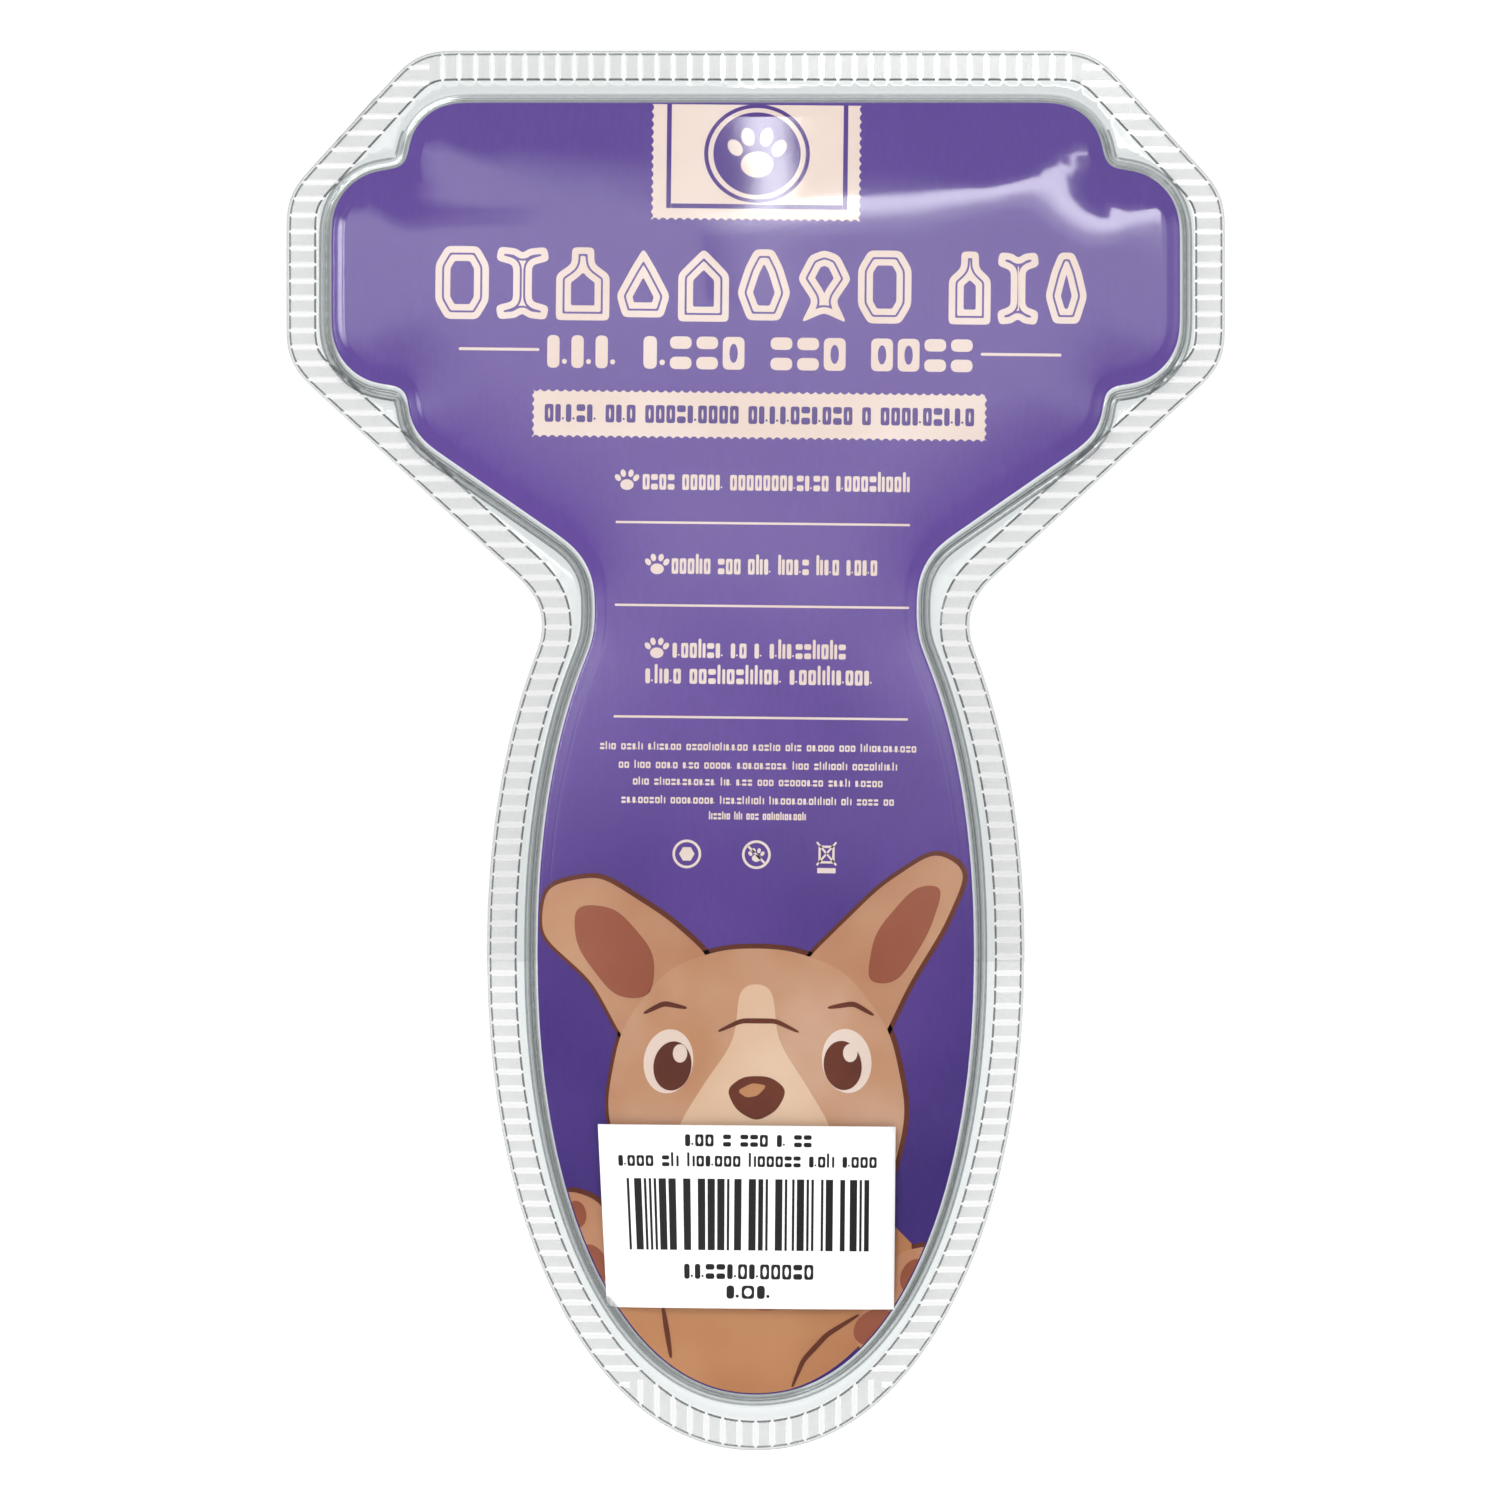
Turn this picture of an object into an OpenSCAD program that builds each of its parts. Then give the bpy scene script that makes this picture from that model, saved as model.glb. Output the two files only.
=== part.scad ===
// Sealed clear clamshell pack for a pet grooming kit: two thermoformed shells welded round a flange, a printed
// card, a label, and inside them a gel-grip dematting rake, a steel comb and a pair of nail clippers.
// X runs across the pack, Y from the back panel to the front bubble, and Z up the pack. The origin is on the back
// face of the flange, at the middle of the top seal band.

/* [Pack] */
// Height of the pack over its flange
pack_h = 244.7; // [240:0.1:250]
// Half-width of the flange at the wide head
head_half = 82; // [81:0.5:86]
// Half-width of the flange at the oval lower part
oval_half = 47; // [46:0.5:50]
// Width of the welded band round the edge
seal_w = 5.4; // [5:0.1:6]
// Thickness of the clear sheet
sheet = 0.5; // [0.4:0.05:0.6]
// Height of the raised back panel behind the flange
panel_rise = 5; // [4.5:0.1:6]
// Depth of the front bubble round the lobes and the oval
lobe_depth = 12; // [11:0.5:14]
// Depth of the front bubble over the rake
bubble_depth = 44; // [43:0.5:50]

/* [Card and label] */
// Half-width of the card at its wide lobes
card_lobe_half = 73.8; // [72:0.1:74.5]
// Half-width of the card above the lobes
card_top_half = 60.5; // [59:0.1:61.5]
// Half-width of the card at the oval
card_oval_half = 38; // [37:0.1:38.5]
// Thickness of the card
card_t = 0.4; // [0.3:0.05:0.5]
// Width of the label
label_w = 50.8; // [48:0.1:52]
// Height of the label
label_h = 31.8; // [30:0.1:33]
// Tilt of the label
label_tilt = 0.5; // [-1:0.1:1]

/* [Rake] */
// Distance of the rake's axis from the flange
rake_y = 23; // [22.8:0.1:23.3]
// Radius of the gel grip
grip_r = 13.4; // [12.5:0.1:13.6]
// Half-length of the toothed head
rake_half = 50; // [46:0.5:52]
// Length that the teeth stand out of the head
tooth_reach = 13; // [10:0.5:13]
// Teeth in the coarse row, at the front
coarse_count = 9; // [7:2:11]
// Teeth in the fine row, at the back
fine_count = 17; // [13:2:19]

/* [Comb] */
// Half-length of the comb
comb_half = 66; // [60:0.5:68]
// Spacing of the coarse pins
coarse_pitch = 3.4; // [3.2:0.1:4]
// Spacing of the fine pins
fine_pitch = 2.2; // [2:0.1:2.4]

/* [Clippers] */
// Height of the clippers' pivot above the tip of the pack
pivot_z = 112; // [110:0.5:114]
// Angle between the levers when they are open
open_angle = 14; // [10:0.5:15]
// Thickness of each steel lever
lever_t = 2.5; // [2.2:0.1:2.6]

/* [Hidden] */

// Working outlines are drawn with the pack's lower tip at zero height, and moved down by hang_z at the end
hang_z = pack_h - seal_w / 2;
bore_gap = 0.05;
cut = 1;

// Pack outlines
flange_shoulder_half = 59;
flange_shoulder_low = 219.5;
flange_waist_top = 190;
flange_neck_half = 36.5;
flange_neck_z = 148;
flange_round = 10;
flange_oval_high = 87;
flange_oval_power = 2.1;
card_top = 235.1;
card_tip = 10.3;
card_oval_high = 77;
card_oval_power = 2.15;
neck_overlap = 30;
lobe_low = 186;
lobe_high = 223.5;
lobe_round = 10;
card_round = 9;
card_waist_z = 178;
card_neck_half = 28;
card_neck_z = 155.5;
neck_fillet = 12;
notch_fillet = 2;
panel_gap = 0.8;
bubble_gap = 1.9;
grip_pocket_half = 18.8;
grip_pocket_low = 28;
grip_pocket_high = 214;
grip_pocket_round = 14;
head_pocket_half = 55;
head_pocket_low = 206.5;
head_pocket_high = 235;
head_pocket_round = 8;
card_gap = 0.05;
label_t = 0.12;
label_x = -1.25;
label_z = 41.4;

// Rake
head_half_y = 6;
head_low = 212;
head_high = 230;
head_round = 4;
tooth_z = 221;
tooth_t = 1.2;
tooth_root_r = 3.2;
tooth_tip_r = 0.8;
tooth_droop = 2.5;
tooth_margin = 5;
tooth_flare = 2.4;
tooth_flare_power = 0.8;
slot_gap = 0.15;
slot_half = 4.2;
rod_y = 3.3;
rod_r = 1.2;
rod_end_wall = 2;
screw_z = 227.7;
screw_r = 1.1;
screw_head_r = 2;
screw_head_t = 1.3;
screw_sink = 2.2;
screw_end_wall = 2;
cross_len = 2.6;
cross_w = 0.5;
cross_deep = 0.6;
screw_x = [-42.5, -17.5, 17.5, 42.5];
core_r = 6.5;
core_low = 46;
grip_low = 50;
grip_high = 182;
swell = 1.1;
swell_pitch = 33;
collar_t = 4;
collar_lip = 0.8;
shoulder_r = 11;
neck_r = 7;
neck_low = 188;
neck_high = 200;
yoke_half = 20;
yoke_half_y = 5.5;
yoke_lip = 3;
yoke_root = 6;
cap_low = 36;
cap_r = 10.5;
hang_hole_r = 2.6;
hang_hole_z = 41.5;

// Comb
comb_low = 187;
comb_high = 211;
comb_back_y = -2.8;
comb_t = 5;
spine_h = 7;
spine_round = 2.2;
end_bar_w = 2.5;
end_bar_t = 2.4;
coarse_r = 0.9;
fine_r = 0.65;
pin_tip_r = 0.35;
coarse_first = 1.6;
coarse_last_x = -2.4;
fine_first_x = 1.2;
fine_last = 1.4;

// Clippers: distances along Y from the flange, from back to front
pivot_head_back = -2.6;
moving_back = -1;
layer_gap = 0.1;
fixed_back = moving_back + lever_t + layer_gap;
fixed_front = fixed_back + lever_t;
grip_back = -3;
grip_front = 6;
guard_t = 0.8;
lock_t = 1.5;
head_t = 1.1;
boss_r = 9;
pivot_r = 3;
pivot_head_r = 5.5;
nut_r = 4.5;
jaw_r = 18.5;
jaw_x = -7;
jaw_z = 16;
jaw_h = 40;
notch_r = 5.5;
notch_z = 17;
handle_top = -22;
handle_run = 60;
handle_x = 8.5;
handle_bulge = 3.5;
handle_half = 6;
tang_half = 3;
lock_z = -76;
lock_pin_r = 1.5;
lock_ring_r = 3.8;
lock_slot = 3.4;
lock_parked = 97;
lock_bore = 1.9;
lock_screw_deep = 1.8;
lock_screw_head_t = 0.8;
lock_arm_in = 0.8;
press_gap = 0.02;
guard_x = 6.5;
guard_z = 8.5;
guard_len = 14;
guard_half = 2.8;
guard_ring_out = 0.6;
guard_screw_in = 0.2;
guard_pin_r = 1.4;
spring_top = -20;
spring_foot = 8.1;
spring_low = -37;
spring_out = 1.4;
spring_t = 0.8;
spring_w = 3.4;

// Signed power, for the rounded ovals
function spow(v, e) = sign(v) * pow(abs(v), e);

// Points of an oval of half-sizes a and b; n is 2 for an ellipse and more for a fuller one
function oval_points(a, b, n, zc) =
    [for (t = [0 : 5 : 355]) [a * spow(cos(t), 2 / n), zc + b * spow(sin(t), 2 / n)]];

// A polygon that is the same on both sides of the middle, from the points of its right half
module both_sides(half) {
    count = len(half);
    left = [for (i = [count - 1 : -1 : 0]) [-half[i][0], half[i][1]]];
    polygon(concat(half, left));
}

// Rounds the corners that stand out
module round_out(r) {
    offset(r = r, $fn = 36) offset(delta = -r) children();
}

// Rounds the corners that turn in
module round_in(r) {
    offset(r = -r, $fn = 36) offset(delta = r) children();
}

// Stands a flat outline up in the X-Z plane, from y0 to y1
module slab(y0, y1) {
    translate([0, y1, 0]) rotate([90, 0, 0]) linear_extrude(y1 - y0) children();
}

// Runs a Y-Z outline along X, from x0 to x1
module along_x(x0, x1) {
    translate([x0, 0, 0]) rotate([90, 0, 90]) linear_extrude(x1 - x0) children();
}

// A round bar along Y
module bar_y(r, y0, y1) {
    translate([0, y0, 0]) rotate([-90, 0, 0]) cylinder(r = r, h = y1 - y0, $fn = 48);
}

// Moves a shape from the tip's frame to the part's own frame
module hung() {
    translate([0, 0, -hang_z]) children();
}

module flange_outline() {
    round_in(flange_round) union() {
        polygon(oval_points(oval_half, flange_oval_high, flange_oval_power, flange_oval_high));
        round_out(flange_round) both_sides([
            [flange_shoulder_half, pack_h], [head_half, flange_shoulder_low], [head_half, flange_waist_top],
            [flange_neck_half, flange_neck_z], [flange_neck_half, flange_neck_z - neck_overlap]
        ]);
    }
}

module card_outline(grow = 0) {
    offset(delta = grow) round_in(notch_fillet) union() {
        rounded_box(card_lobe_half, lobe_low, lobe_high, lobe_round);
        round_in(neck_fillet) union() {
            polygon(oval_points(card_oval_half, card_oval_high, card_oval_power, card_tip + card_oval_high));
            round_out(card_round) both_sides([
                [card_top_half, card_top], [card_top_half, card_waist_z],
                [card_neck_half, card_neck_z], [card_neck_half, card_neck_z - neck_overlap]
            ]);
        }
    }
}

module rounded_box(half_w, low, high, r) {
    translate([0, (low + high) / 2]) offset(r = r, $fn = 36)
        square([2 * (half_w - r), high - low - 2 * r], center = true);
}

module grip_pocket(grow) {
    rounded_box(grip_pocket_half + grow, grip_pocket_low - grow, grip_pocket_high, grip_pocket_round);
}

module head_pocket(grow) {
    rounded_box(head_pocket_half + grow, head_pocket_low - grow, head_pocket_high + grow, head_pocket_round);
}

module back_shell() {
    color([0.88, 0.9, 0.92, 0.35]) hung() difference() {
        union() {
            slab(0, sheet) flange_outline();
            slab(-panel_rise, sheet) card_outline(panel_gap + sheet);
        }
        slab(sheet - panel_rise, sheet + cut) card_outline(panel_gap);
    }
}

module card_insert() {
    front = sheet + card_gap + card_t - panel_rise;
    color([0.5, 0.4, 0.72]) hung() slab(front - card_t, front) card_outline();
}

module barcode_label() {
    color("white") hung() slab(-panel_rise - label_t, -panel_rise)
        translate([label_x, label_z]) rotate(-label_tilt) square([label_w, label_h], center = true);
}

module front_shell() {
    color([0.88, 0.9, 0.92, 0.35]) hung() difference() {
        union() {
            slab(sheet, 2 * sheet) flange_outline();
            slab(sheet, lobe_depth) card_outline(bubble_gap + sheet);
            slab(sheet, bubble_depth) grip_pocket(sheet);
            slab(sheet, bubble_depth) head_pocket(sheet);
        }
        slab(sheet - cut, lobe_depth - sheet) card_outline(bubble_gap);
        slab(sheet - cut, bubble_depth - sheet) grip_pocket(0);
        slab(sheet - cut, bubble_depth - sheet) head_pocket(0);
    }
}

// Places a shape on the rake's axis
module on_rake() {
    translate([0, rake_y, -hang_z]) children();
}

module rake_core() {
    color([0.22, 0.2, 0.26]) on_rake() {
        translate([0, 0, core_low]) cylinder(r = core_r, h = neck_low - core_low, $fn = 48);
        translate([0, 0, grip_high + collar_t])
            cylinder(r = shoulder_r, h = neck_low - grip_high - collar_t, $fn = 64);
        translate([0, 0, neck_low])
            cylinder(r1 = shoulder_r - 1, r2 = neck_r, h = neck_high - neck_low, $fn = 64);
        slab(-yoke_half_y, yoke_half_y) both_sides([
            [yoke_half, head_low], [yoke_half, head_low - yoke_lip],
            [neck_r, neck_high - 1], [neck_r - 2, neck_high - yoke_root]
        ]);
    }
}

// Radius of the gel grip at a share t of its length: finger swells, and rounded ends
function grip_radius(t) =
    let (z = t * (grip_high - grip_low))
    let (ends = 0.8 + 0.2 * pow(1 - pow(2 * t - 1, 16), 0.5))
    (grip_r - swell + swell * cos(360 * (z / swell_pitch - 0.5))) * ends;

module rake_grip() {
    steps = 48;
    outside = [for (i = [0 : steps]) [grip_radius(i / steps), grip_low + i / steps * (grip_high - grip_low)]];
    color([0.47, 0.32, 0.72]) on_rake() rotate_extrude($fn = 64)
        polygon(concat([[core_r + bore_gap, grip_low]], outside, [[core_r + bore_gap, grip_high]]));
}

module rake_collar() {
    color([0.85, 0.85, 0.87]) on_rake() translate([0, 0, grip_high]) difference() {
        cylinder(r = shoulder_r + collar_lip, h = collar_t, $fn = 64);
        translate([0, 0, -cut]) cylinder(r = core_r + bore_gap, h = collar_t + 2 * cut, $fn = 48);
    }
}

module rake_end_cap() {
    height = grip_low - cap_low;
    profile = [for (a = [0 : 10 : 90]) [cap_r * sin(a), grip_low - height * cos(a)]];
    color([0.22, 0.2, 0.26]) on_rake() difference() {
        rotate_extrude($fn = 64) polygon(concat([[0, grip_low]], profile));
        translate([0, 0, core_low]) cylinder(r = core_r + bore_gap, h = height, $fn = 48);
        translate([0, 0, hang_hole_z]) bar_y(hang_hole_r, -cap_r - cut, cap_r + cut);
    }
}

// Places of a row of teeth along the head
function tooth_places(count) =
    [for (i = [0 : count - 1]) (2 * i / (count - 1) - 1) * (rake_half - tooth_margin)];

// Half-width of a tooth at a share t of its length
function tooth_half(t) = tooth_tip_r + tooth_flare * pow(1 - t, tooth_flare_power);

// One tooth: a flat blade that narrows and droops towards its tip, with a ring round its rod
module tooth_outline() {
    reach = head_half_y + tooth_reach - tooth_tip_r - rod_y;
    steps = 10;
    top = [for (i = [0 : steps]) let (t = i / steps)
        [rod_y + reach * t, tooth_z - tooth_droop * t * t + tooth_half(t)]];
    under = [for (i = [steps : -1 : 0]) let (t = i / steps)
        [rod_y + reach * t, tooth_z - tooth_droop * t * t - tooth_half(t)]];
    difference() {
        union() {
            polygon(concat(top, under));
            translate([rod_y, tooth_z]) circle(r = tooth_root_r, $fn = 36);
            translate([rod_y + reach, tooth_z - tooth_droop]) circle(r = tooth_tip_r, $fn = 24);
        }
        translate([rod_y, tooth_z]) circle(r = rod_r + bore_gap, $fn = 36);
    }
}

module teeth(count) {
    for (x = tooth_places(count)) along_x(x - tooth_t / 2, x + tooth_t / 2) tooth_outline();
}

// The front half of the head, with a slot for each tooth, the rod's bore and the screw holes
module head_half_block(count) {
    difference() {
        along_x(-rake_half, rake_half) intersection() {
            translate([0, (head_low + head_high) / 2]) offset(r = head_round, $fn = 40)
                square([2 * (head_half_y - head_round), head_high - head_low - 2 * head_round],
                    center = true);
            translate([0, head_low - cut]) square([head_half_y, head_high - head_low + 2 * cut]);
        }
        for (x = tooth_places(count))
            translate([x - tooth_t / 2 - slot_gap, -cut, tooth_z - slot_half])
                cube([tooth_t + 2 * slot_gap, head_half_y + 2 * cut, 2 * slot_half]);
        along_x(rod_end_wall - rake_half, rake_half - rod_end_wall)
            translate([rod_y, tooth_z]) circle(r = rod_r + bore_gap, $fn = 36);
        children();
    }
}

module rake_head_front() {
    color([0.22, 0.2, 0.26]) on_rake() head_half_block(coarse_count) {
        for (x = screw_x) translate([x, 0, screw_z]) bar_y(screw_r, -cut, head_half_y - screw_end_wall);
    }
}

module rake_head_back() {
    color([0.47, 0.32, 0.72]) on_rake() mirror([0, 1, 0]) head_half_block(fine_count) {
        for (x = screw_x) translate([x, 0, screw_z]) {
            bar_y(screw_r + bore_gap, -cut, head_half_y + cut);
            bar_y(screw_head_r + bore_gap, head_half_y - screw_sink, head_half_y + cut);
        }
    }
}

module rake_coarse_teeth() {
    color("silver") on_rake() teeth(coarse_count);
}

module rake_fine_teeth() {
    color("silver") on_rake() mirror([0, 1, 0]) teeth(fine_count);
}

module rake_rods() {
    color("silver") on_rake() for (side = [-1, 1]) along_x(rod_end_wall - rake_half, rake_half - rod_end_wall)
        translate([side * rod_y, tooth_z]) circle(r = rod_r, $fn = 36);
}

module rake_screws() {
    seat = head_half_y - screw_sink;
    color("silver") on_rake() for (x = screw_x) translate([x, 0, screw_z]) mirror([0, 1, 0]) {
        bar_y(screw_r, -seat, seat);
        difference() {
            bar_y(screw_head_r, seat, seat + screw_head_t);
            for (turn = [0, 90]) rotate([0, turn, 0])
                translate([-cross_len / 2, seat + screw_head_t - cross_deep, -cross_w / 2])
                    cube([cross_len, cut, cross_w]);
        }
    }
}

module comb_spine() {
    color("silver") hung() along_x(-comb_half, comb_half)
        translate([comb_back_y + comb_t / 2, comb_high - spine_h / 2]) offset(r = spine_round, $fn = 32)
            square([comb_t - 2 * spine_round, spine_h - 2 * spine_round], center = true);
}

// A row of tapered pins from x0 to x1, hanging under the spine
module comb_pins(x0, x1, pitch, r) {
    count = floor((x1 - x0) / pitch);
    start = (x0 + x1 - count * pitch) / 2;
    for (i = [0 : count]) translate([start + i * pitch, comb_back_y + comb_t / 2, comb_low - hang_z])
        cylinder(r1 = pin_tip_r, r2 = r, h = comb_high - spine_h - comb_low, $fn = 24);
}

module comb_coarse_teeth() {
    color("silver") comb_pins(-comb_half + end_bar_w + coarse_first, coarse_last_x, coarse_pitch, coarse_r);
}

module comb_fine_teeth() {
    color("silver") comb_pins(fine_first_x, comb_half - end_bar_w - fine_last, fine_pitch, fine_r);
}

module comb_end_bars() {
    middle_y = comb_back_y + comb_t / 2;
    color("silver") hung() slab(middle_y - end_bar_t / 2, middle_y + end_bar_t / 2)
        for (side = [-1, 1]) translate([side * (comb_half - end_bar_w / 2), 0]) {
            translate([-end_bar_w / 2, comb_low + end_bar_w / 2])
                square([end_bar_w, comb_high - spine_h - comb_low - end_bar_w / 2]);
            translate([0, comb_low + end_bar_w / 2]) circle(r = end_bar_w / 2, $fn = 24);
        }
}

// Places a flat outline, drawn round the pivot, at the pivot of the clippers
module at_pivot(y0, y1) {
    hung() translate([0, 0, pivot_z]) slab(y0, y1) children();
}

// Turns the fixed lever, or the moving one, from the closed posture to the open one
module opened(fixed) {
    if (fixed) rotate(-open_angle / 2) children();
    else mirror([1, 0]) rotate(-open_angle / 2) children();
}

// Middle line and half-width of a handle in the closed posture, at a share t of its length
function handle_mid(t) = [-handle_x - handle_bulge * sin(180 * t), handle_top - handle_run * t];
function handle_width(t) = handle_half * pow(1 - pow(abs(2 * t - 1), 9), 0.5);

module handle_outline() {
    steps = 40;
    inner = [for (i = [0 : steps]) handle_mid(i / steps) + [handle_width(i / steps), 0]];
    outer = [for (i = [steps - 1 : -1 : 1]) handle_mid(i / steps) - [handle_width(i / steps), 0]];
    polygon(concat(inner, outer));
}

// The steel tang that runs from the boss down into the grip
module tang_outline() {
    polygon([
        [4, -6], [-7, -4], [-handle_x - 2 * tang_half, -22], [-handle_x - handle_bulge - tang_half, -44],
        [-handle_x - handle_bulge, -62], [-handle_x - tang_half / 2, -62],
        [-handle_x - handle_bulge + tang_half, -44], [-handle_x + tang_half / 2, -26]
    ]);
}

module lever_outline() {
    difference() {
        union() {
            circle(r = boss_r, $fn = 60);
            tang_outline();
            intersection() {
                translate([jaw_x, jaw_z]) circle(r = jaw_r, $fn = 90);
                square([jaw_h, jaw_h]);
            }
        }
        translate([0, notch_z]) circle(r = notch_r, $fn = 48);
        circle(r = pivot_r + bore_gap, $fn = 48);
    }
}

module clipper_fixed_blade() {
    color("silver") difference() {
        at_pivot(fixed_back, fixed_front) opened(true) lever_outline();
        at_pivot(fixed_back - cut, fixed_front + cut) opened(true)
            translate([guard_x, guard_z]) circle(r = guard_pin_r, $fn = 36);
    }
}

module clipper_moving_blade() {
    color("silver") at_pivot(moving_back, moving_back + lever_t) opened(false) lever_outline();
}

module clipper_fixed_grip() {
    color([0.47, 0.32, 0.72]) difference() {
        at_pivot(grip_back, grip_front) opened(true) handle_outline();
        at_pivot(fixed_back, fixed_front) opened(true) tang_outline();
        at_pivot(grip_front - lock_bore, grip_front + cut) opened(true)
            translate([-handle_x, lock_z]) circle(r = lock_pin_r, $fn = 36);
    }
}

module clipper_moving_grip() {
    color([0.47, 0.32, 0.72]) {
        difference() {
            at_pivot(grip_back, grip_front) opened(false) handle_outline();
            at_pivot(moving_back, moving_back + lever_t) opened(false) tang_outline();
        }
        at_pivot(grip_front, grip_front + lock_t) opened(false)
            translate([-handle_x, lock_z]) circle(r = lock_pin_r, $fn = 36);
    }
}

module clipper_pivot() {
    color("dimgray") {
        at_pivot(pivot_head_back, moving_back - layer_gap) circle(r = pivot_head_r, $fn = 60);
        at_pivot(moving_back - layer_gap, fixed_front + bore_gap) circle(r = pivot_r, $fn = 48);
        at_pivot(fixed_front + bore_gap, fixed_front + bore_gap + lock_t) circle(r = nut_r, $fn = 6);
    }
}

// A V spring between the handles, with a round top and its feet against the grips
module clipper_spring() {
    middle = (moving_back + fixed_front) / 2;
    half = [[0.1, spring_top], [spring_foot, spring_low - 1]];
    color("gray") at_pivot(middle - spring_w / 2, middle + spring_w / 2) difference() {
        offset(r = spring_out, $fn = 32) both_sides(half);
        offset(r = spring_out - spring_t, $fn = 32) both_sides(half);
        translate([-20, spring_low - 20]) square([40, 20]);
    }
}

module clipper_guard() {
    color("gainsboro") at_pivot(fixed_front + layer_gap, fixed_front + layer_gap + guard_t) opened(true)
        translate([guard_x, guard_z]) difference() {
            union() {
                circle(r = guard_half + guard_ring_out, $fn = 40);
                translate([-guard_len + guard_half, -guard_half])
                    square([guard_len - guard_half, 2 * guard_half]);
                translate([-guard_len + guard_half, 0]) circle(r = guard_half, $fn = 40);
            }
            circle(r = guard_pin_r + bore_gap, $fn = 36);
        }
}

module clipper_guard_screw() {
    seat = fixed_front + 2 * layer_gap + guard_t;
    color("dimgray") {
        at_pivot(fixed_back + bore_gap, seat) opened(true)
            translate([guard_x, guard_z]) circle(r = guard_pin_r - press_gap, $fn = 36);
        at_pivot(seat, seat + head_t) opened(true)
            translate([guard_x, guard_z]) circle(r = guard_half - guard_screw_in, $fn = 40);
    }
}

// The catch: a ring on its screw, an arm as long as the gap between the handles, and a hook for the stud
module catch_outline() {
    arm = 2 * handle_x;
    difference() {
        union() {
            circle(r = lock_ring_r, $fn = 40);
            translate([0, lock_arm_in - lock_ring_r]) square([arm, 2 * (lock_ring_r - lock_arm_in)]);
            translate([arm, 0]) circle(r = lock_ring_r, $fn = 40);
        }
        circle(r = lock_pin_r + bore_gap, $fn = 36);
        translate([arm, 0]) circle(r = lock_slot / 2, $fn = 36);
        translate([arm - lock_slot / 2, -2 * lock_ring_r]) square([lock_slot, 2 * lock_ring_r]);
    }
}

module clipper_lock() {
    color("silver") at_pivot(grip_front + layer_gap, grip_front + layer_gap + lock_t) opened(true)
        translate([-handle_x, lock_z]) rotate(lock_parked) catch_outline();
}

module clipper_lock_screw() {
    seat = grip_front + 2 * layer_gap + lock_t;
    color("dimgray") {
        at_pivot(grip_front - lock_screw_deep, seat) opened(true)
            translate([-handle_x, lock_z]) circle(r = lock_pin_r - press_gap, $fn = 36);
        at_pivot(seat, seat + lock_screw_head_t) opened(true)
            translate([-handle_x, lock_z]) circle(r = lock_ring_r - 1, $fn = 40);
    }
}

back_shell();
card_insert();
barcode_label();
front_shell();
rake_core();
rake_grip();
rake_collar();
rake_end_cap();
rake_head_front();
rake_head_back();
rake_coarse_teeth();
rake_fine_teeth();
rake_rods();
rake_screws();
comb_spine();
comb_coarse_teeth();
comb_fine_teeth();
comb_end_bars();
clipper_fixed_blade();
clipper_moving_blade();
clipper_fixed_grip();
clipper_moving_grip();
clipper_pivot();
clipper_spring();
clipper_guard();
clipper_guard_screw();
clipper_lock();
clipper_lock_screw();
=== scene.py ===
"""Looks of a sealed clear clamshell pack with its printed card, label and pet grooming kit.

Lengths are millimetres until a mesh is made. Flat outlines are (x, z) points, with z measured up from the
pack's lower tip.
"""

import math
import random

import bpy
import numpy as np
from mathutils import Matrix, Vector, geometry


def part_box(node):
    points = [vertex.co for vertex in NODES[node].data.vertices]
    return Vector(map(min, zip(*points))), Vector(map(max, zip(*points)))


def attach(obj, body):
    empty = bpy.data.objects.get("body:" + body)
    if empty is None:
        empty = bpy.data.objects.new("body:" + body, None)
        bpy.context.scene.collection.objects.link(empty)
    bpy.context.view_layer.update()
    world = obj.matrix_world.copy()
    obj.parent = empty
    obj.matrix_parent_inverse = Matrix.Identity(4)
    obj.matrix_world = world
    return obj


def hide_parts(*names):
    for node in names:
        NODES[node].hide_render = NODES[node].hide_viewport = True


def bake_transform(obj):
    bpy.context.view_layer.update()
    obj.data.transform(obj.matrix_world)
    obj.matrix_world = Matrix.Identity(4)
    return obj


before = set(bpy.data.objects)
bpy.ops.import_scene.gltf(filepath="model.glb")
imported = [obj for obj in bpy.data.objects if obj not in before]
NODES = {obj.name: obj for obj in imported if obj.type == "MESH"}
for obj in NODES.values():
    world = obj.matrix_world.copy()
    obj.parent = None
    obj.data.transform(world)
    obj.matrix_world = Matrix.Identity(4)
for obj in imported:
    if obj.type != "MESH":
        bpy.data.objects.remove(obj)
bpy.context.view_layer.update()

MM = 0.001
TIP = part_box("back_shell")[0].z / MM
SHEET = 0.42  # thickness of the clear sheet


# ---- flat outlines

def resample(points, step, closed=True):
    """The same polyline with points spaced evenly, about step apart."""
    line = np.vstack([points, points[:1]]) if closed else np.array(points, float)
    run = np.concatenate([[0], np.cumsum(np.hypot(*np.diff(line, axis=0).T))])
    count = max(8 if closed else 2, round(run[-1] / step) + (0 if closed else 1))
    places = np.linspace(0, run[-1], count, endpoint=not closed)
    return np.column_stack([np.interp(places, run, line[:, 0]), np.interp(places, run, line[:, 1])])


def blurred(points, sigma):
    """A closed curve of even points, smoothed along its length by sigma points."""
    waves = np.fft.fftfreq(len(points))
    gain = np.exp(-2 * (math.pi * waves * sigma) ** 2)
    return np.column_stack([np.fft.ifft(np.fft.fft(points[:, k]) * gain).real for k in (0, 1)])


def area(points):
    x, z = points.T
    return 0.5 * np.sum(x * np.roll(z, -1) - z * np.roll(x, -1))


def distances(places, line):
    """Distance of every place from every point of a line."""
    return np.hypot(places[:, :1] - line[:, 0], places[:, 1:] - line[:, 1])


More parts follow.
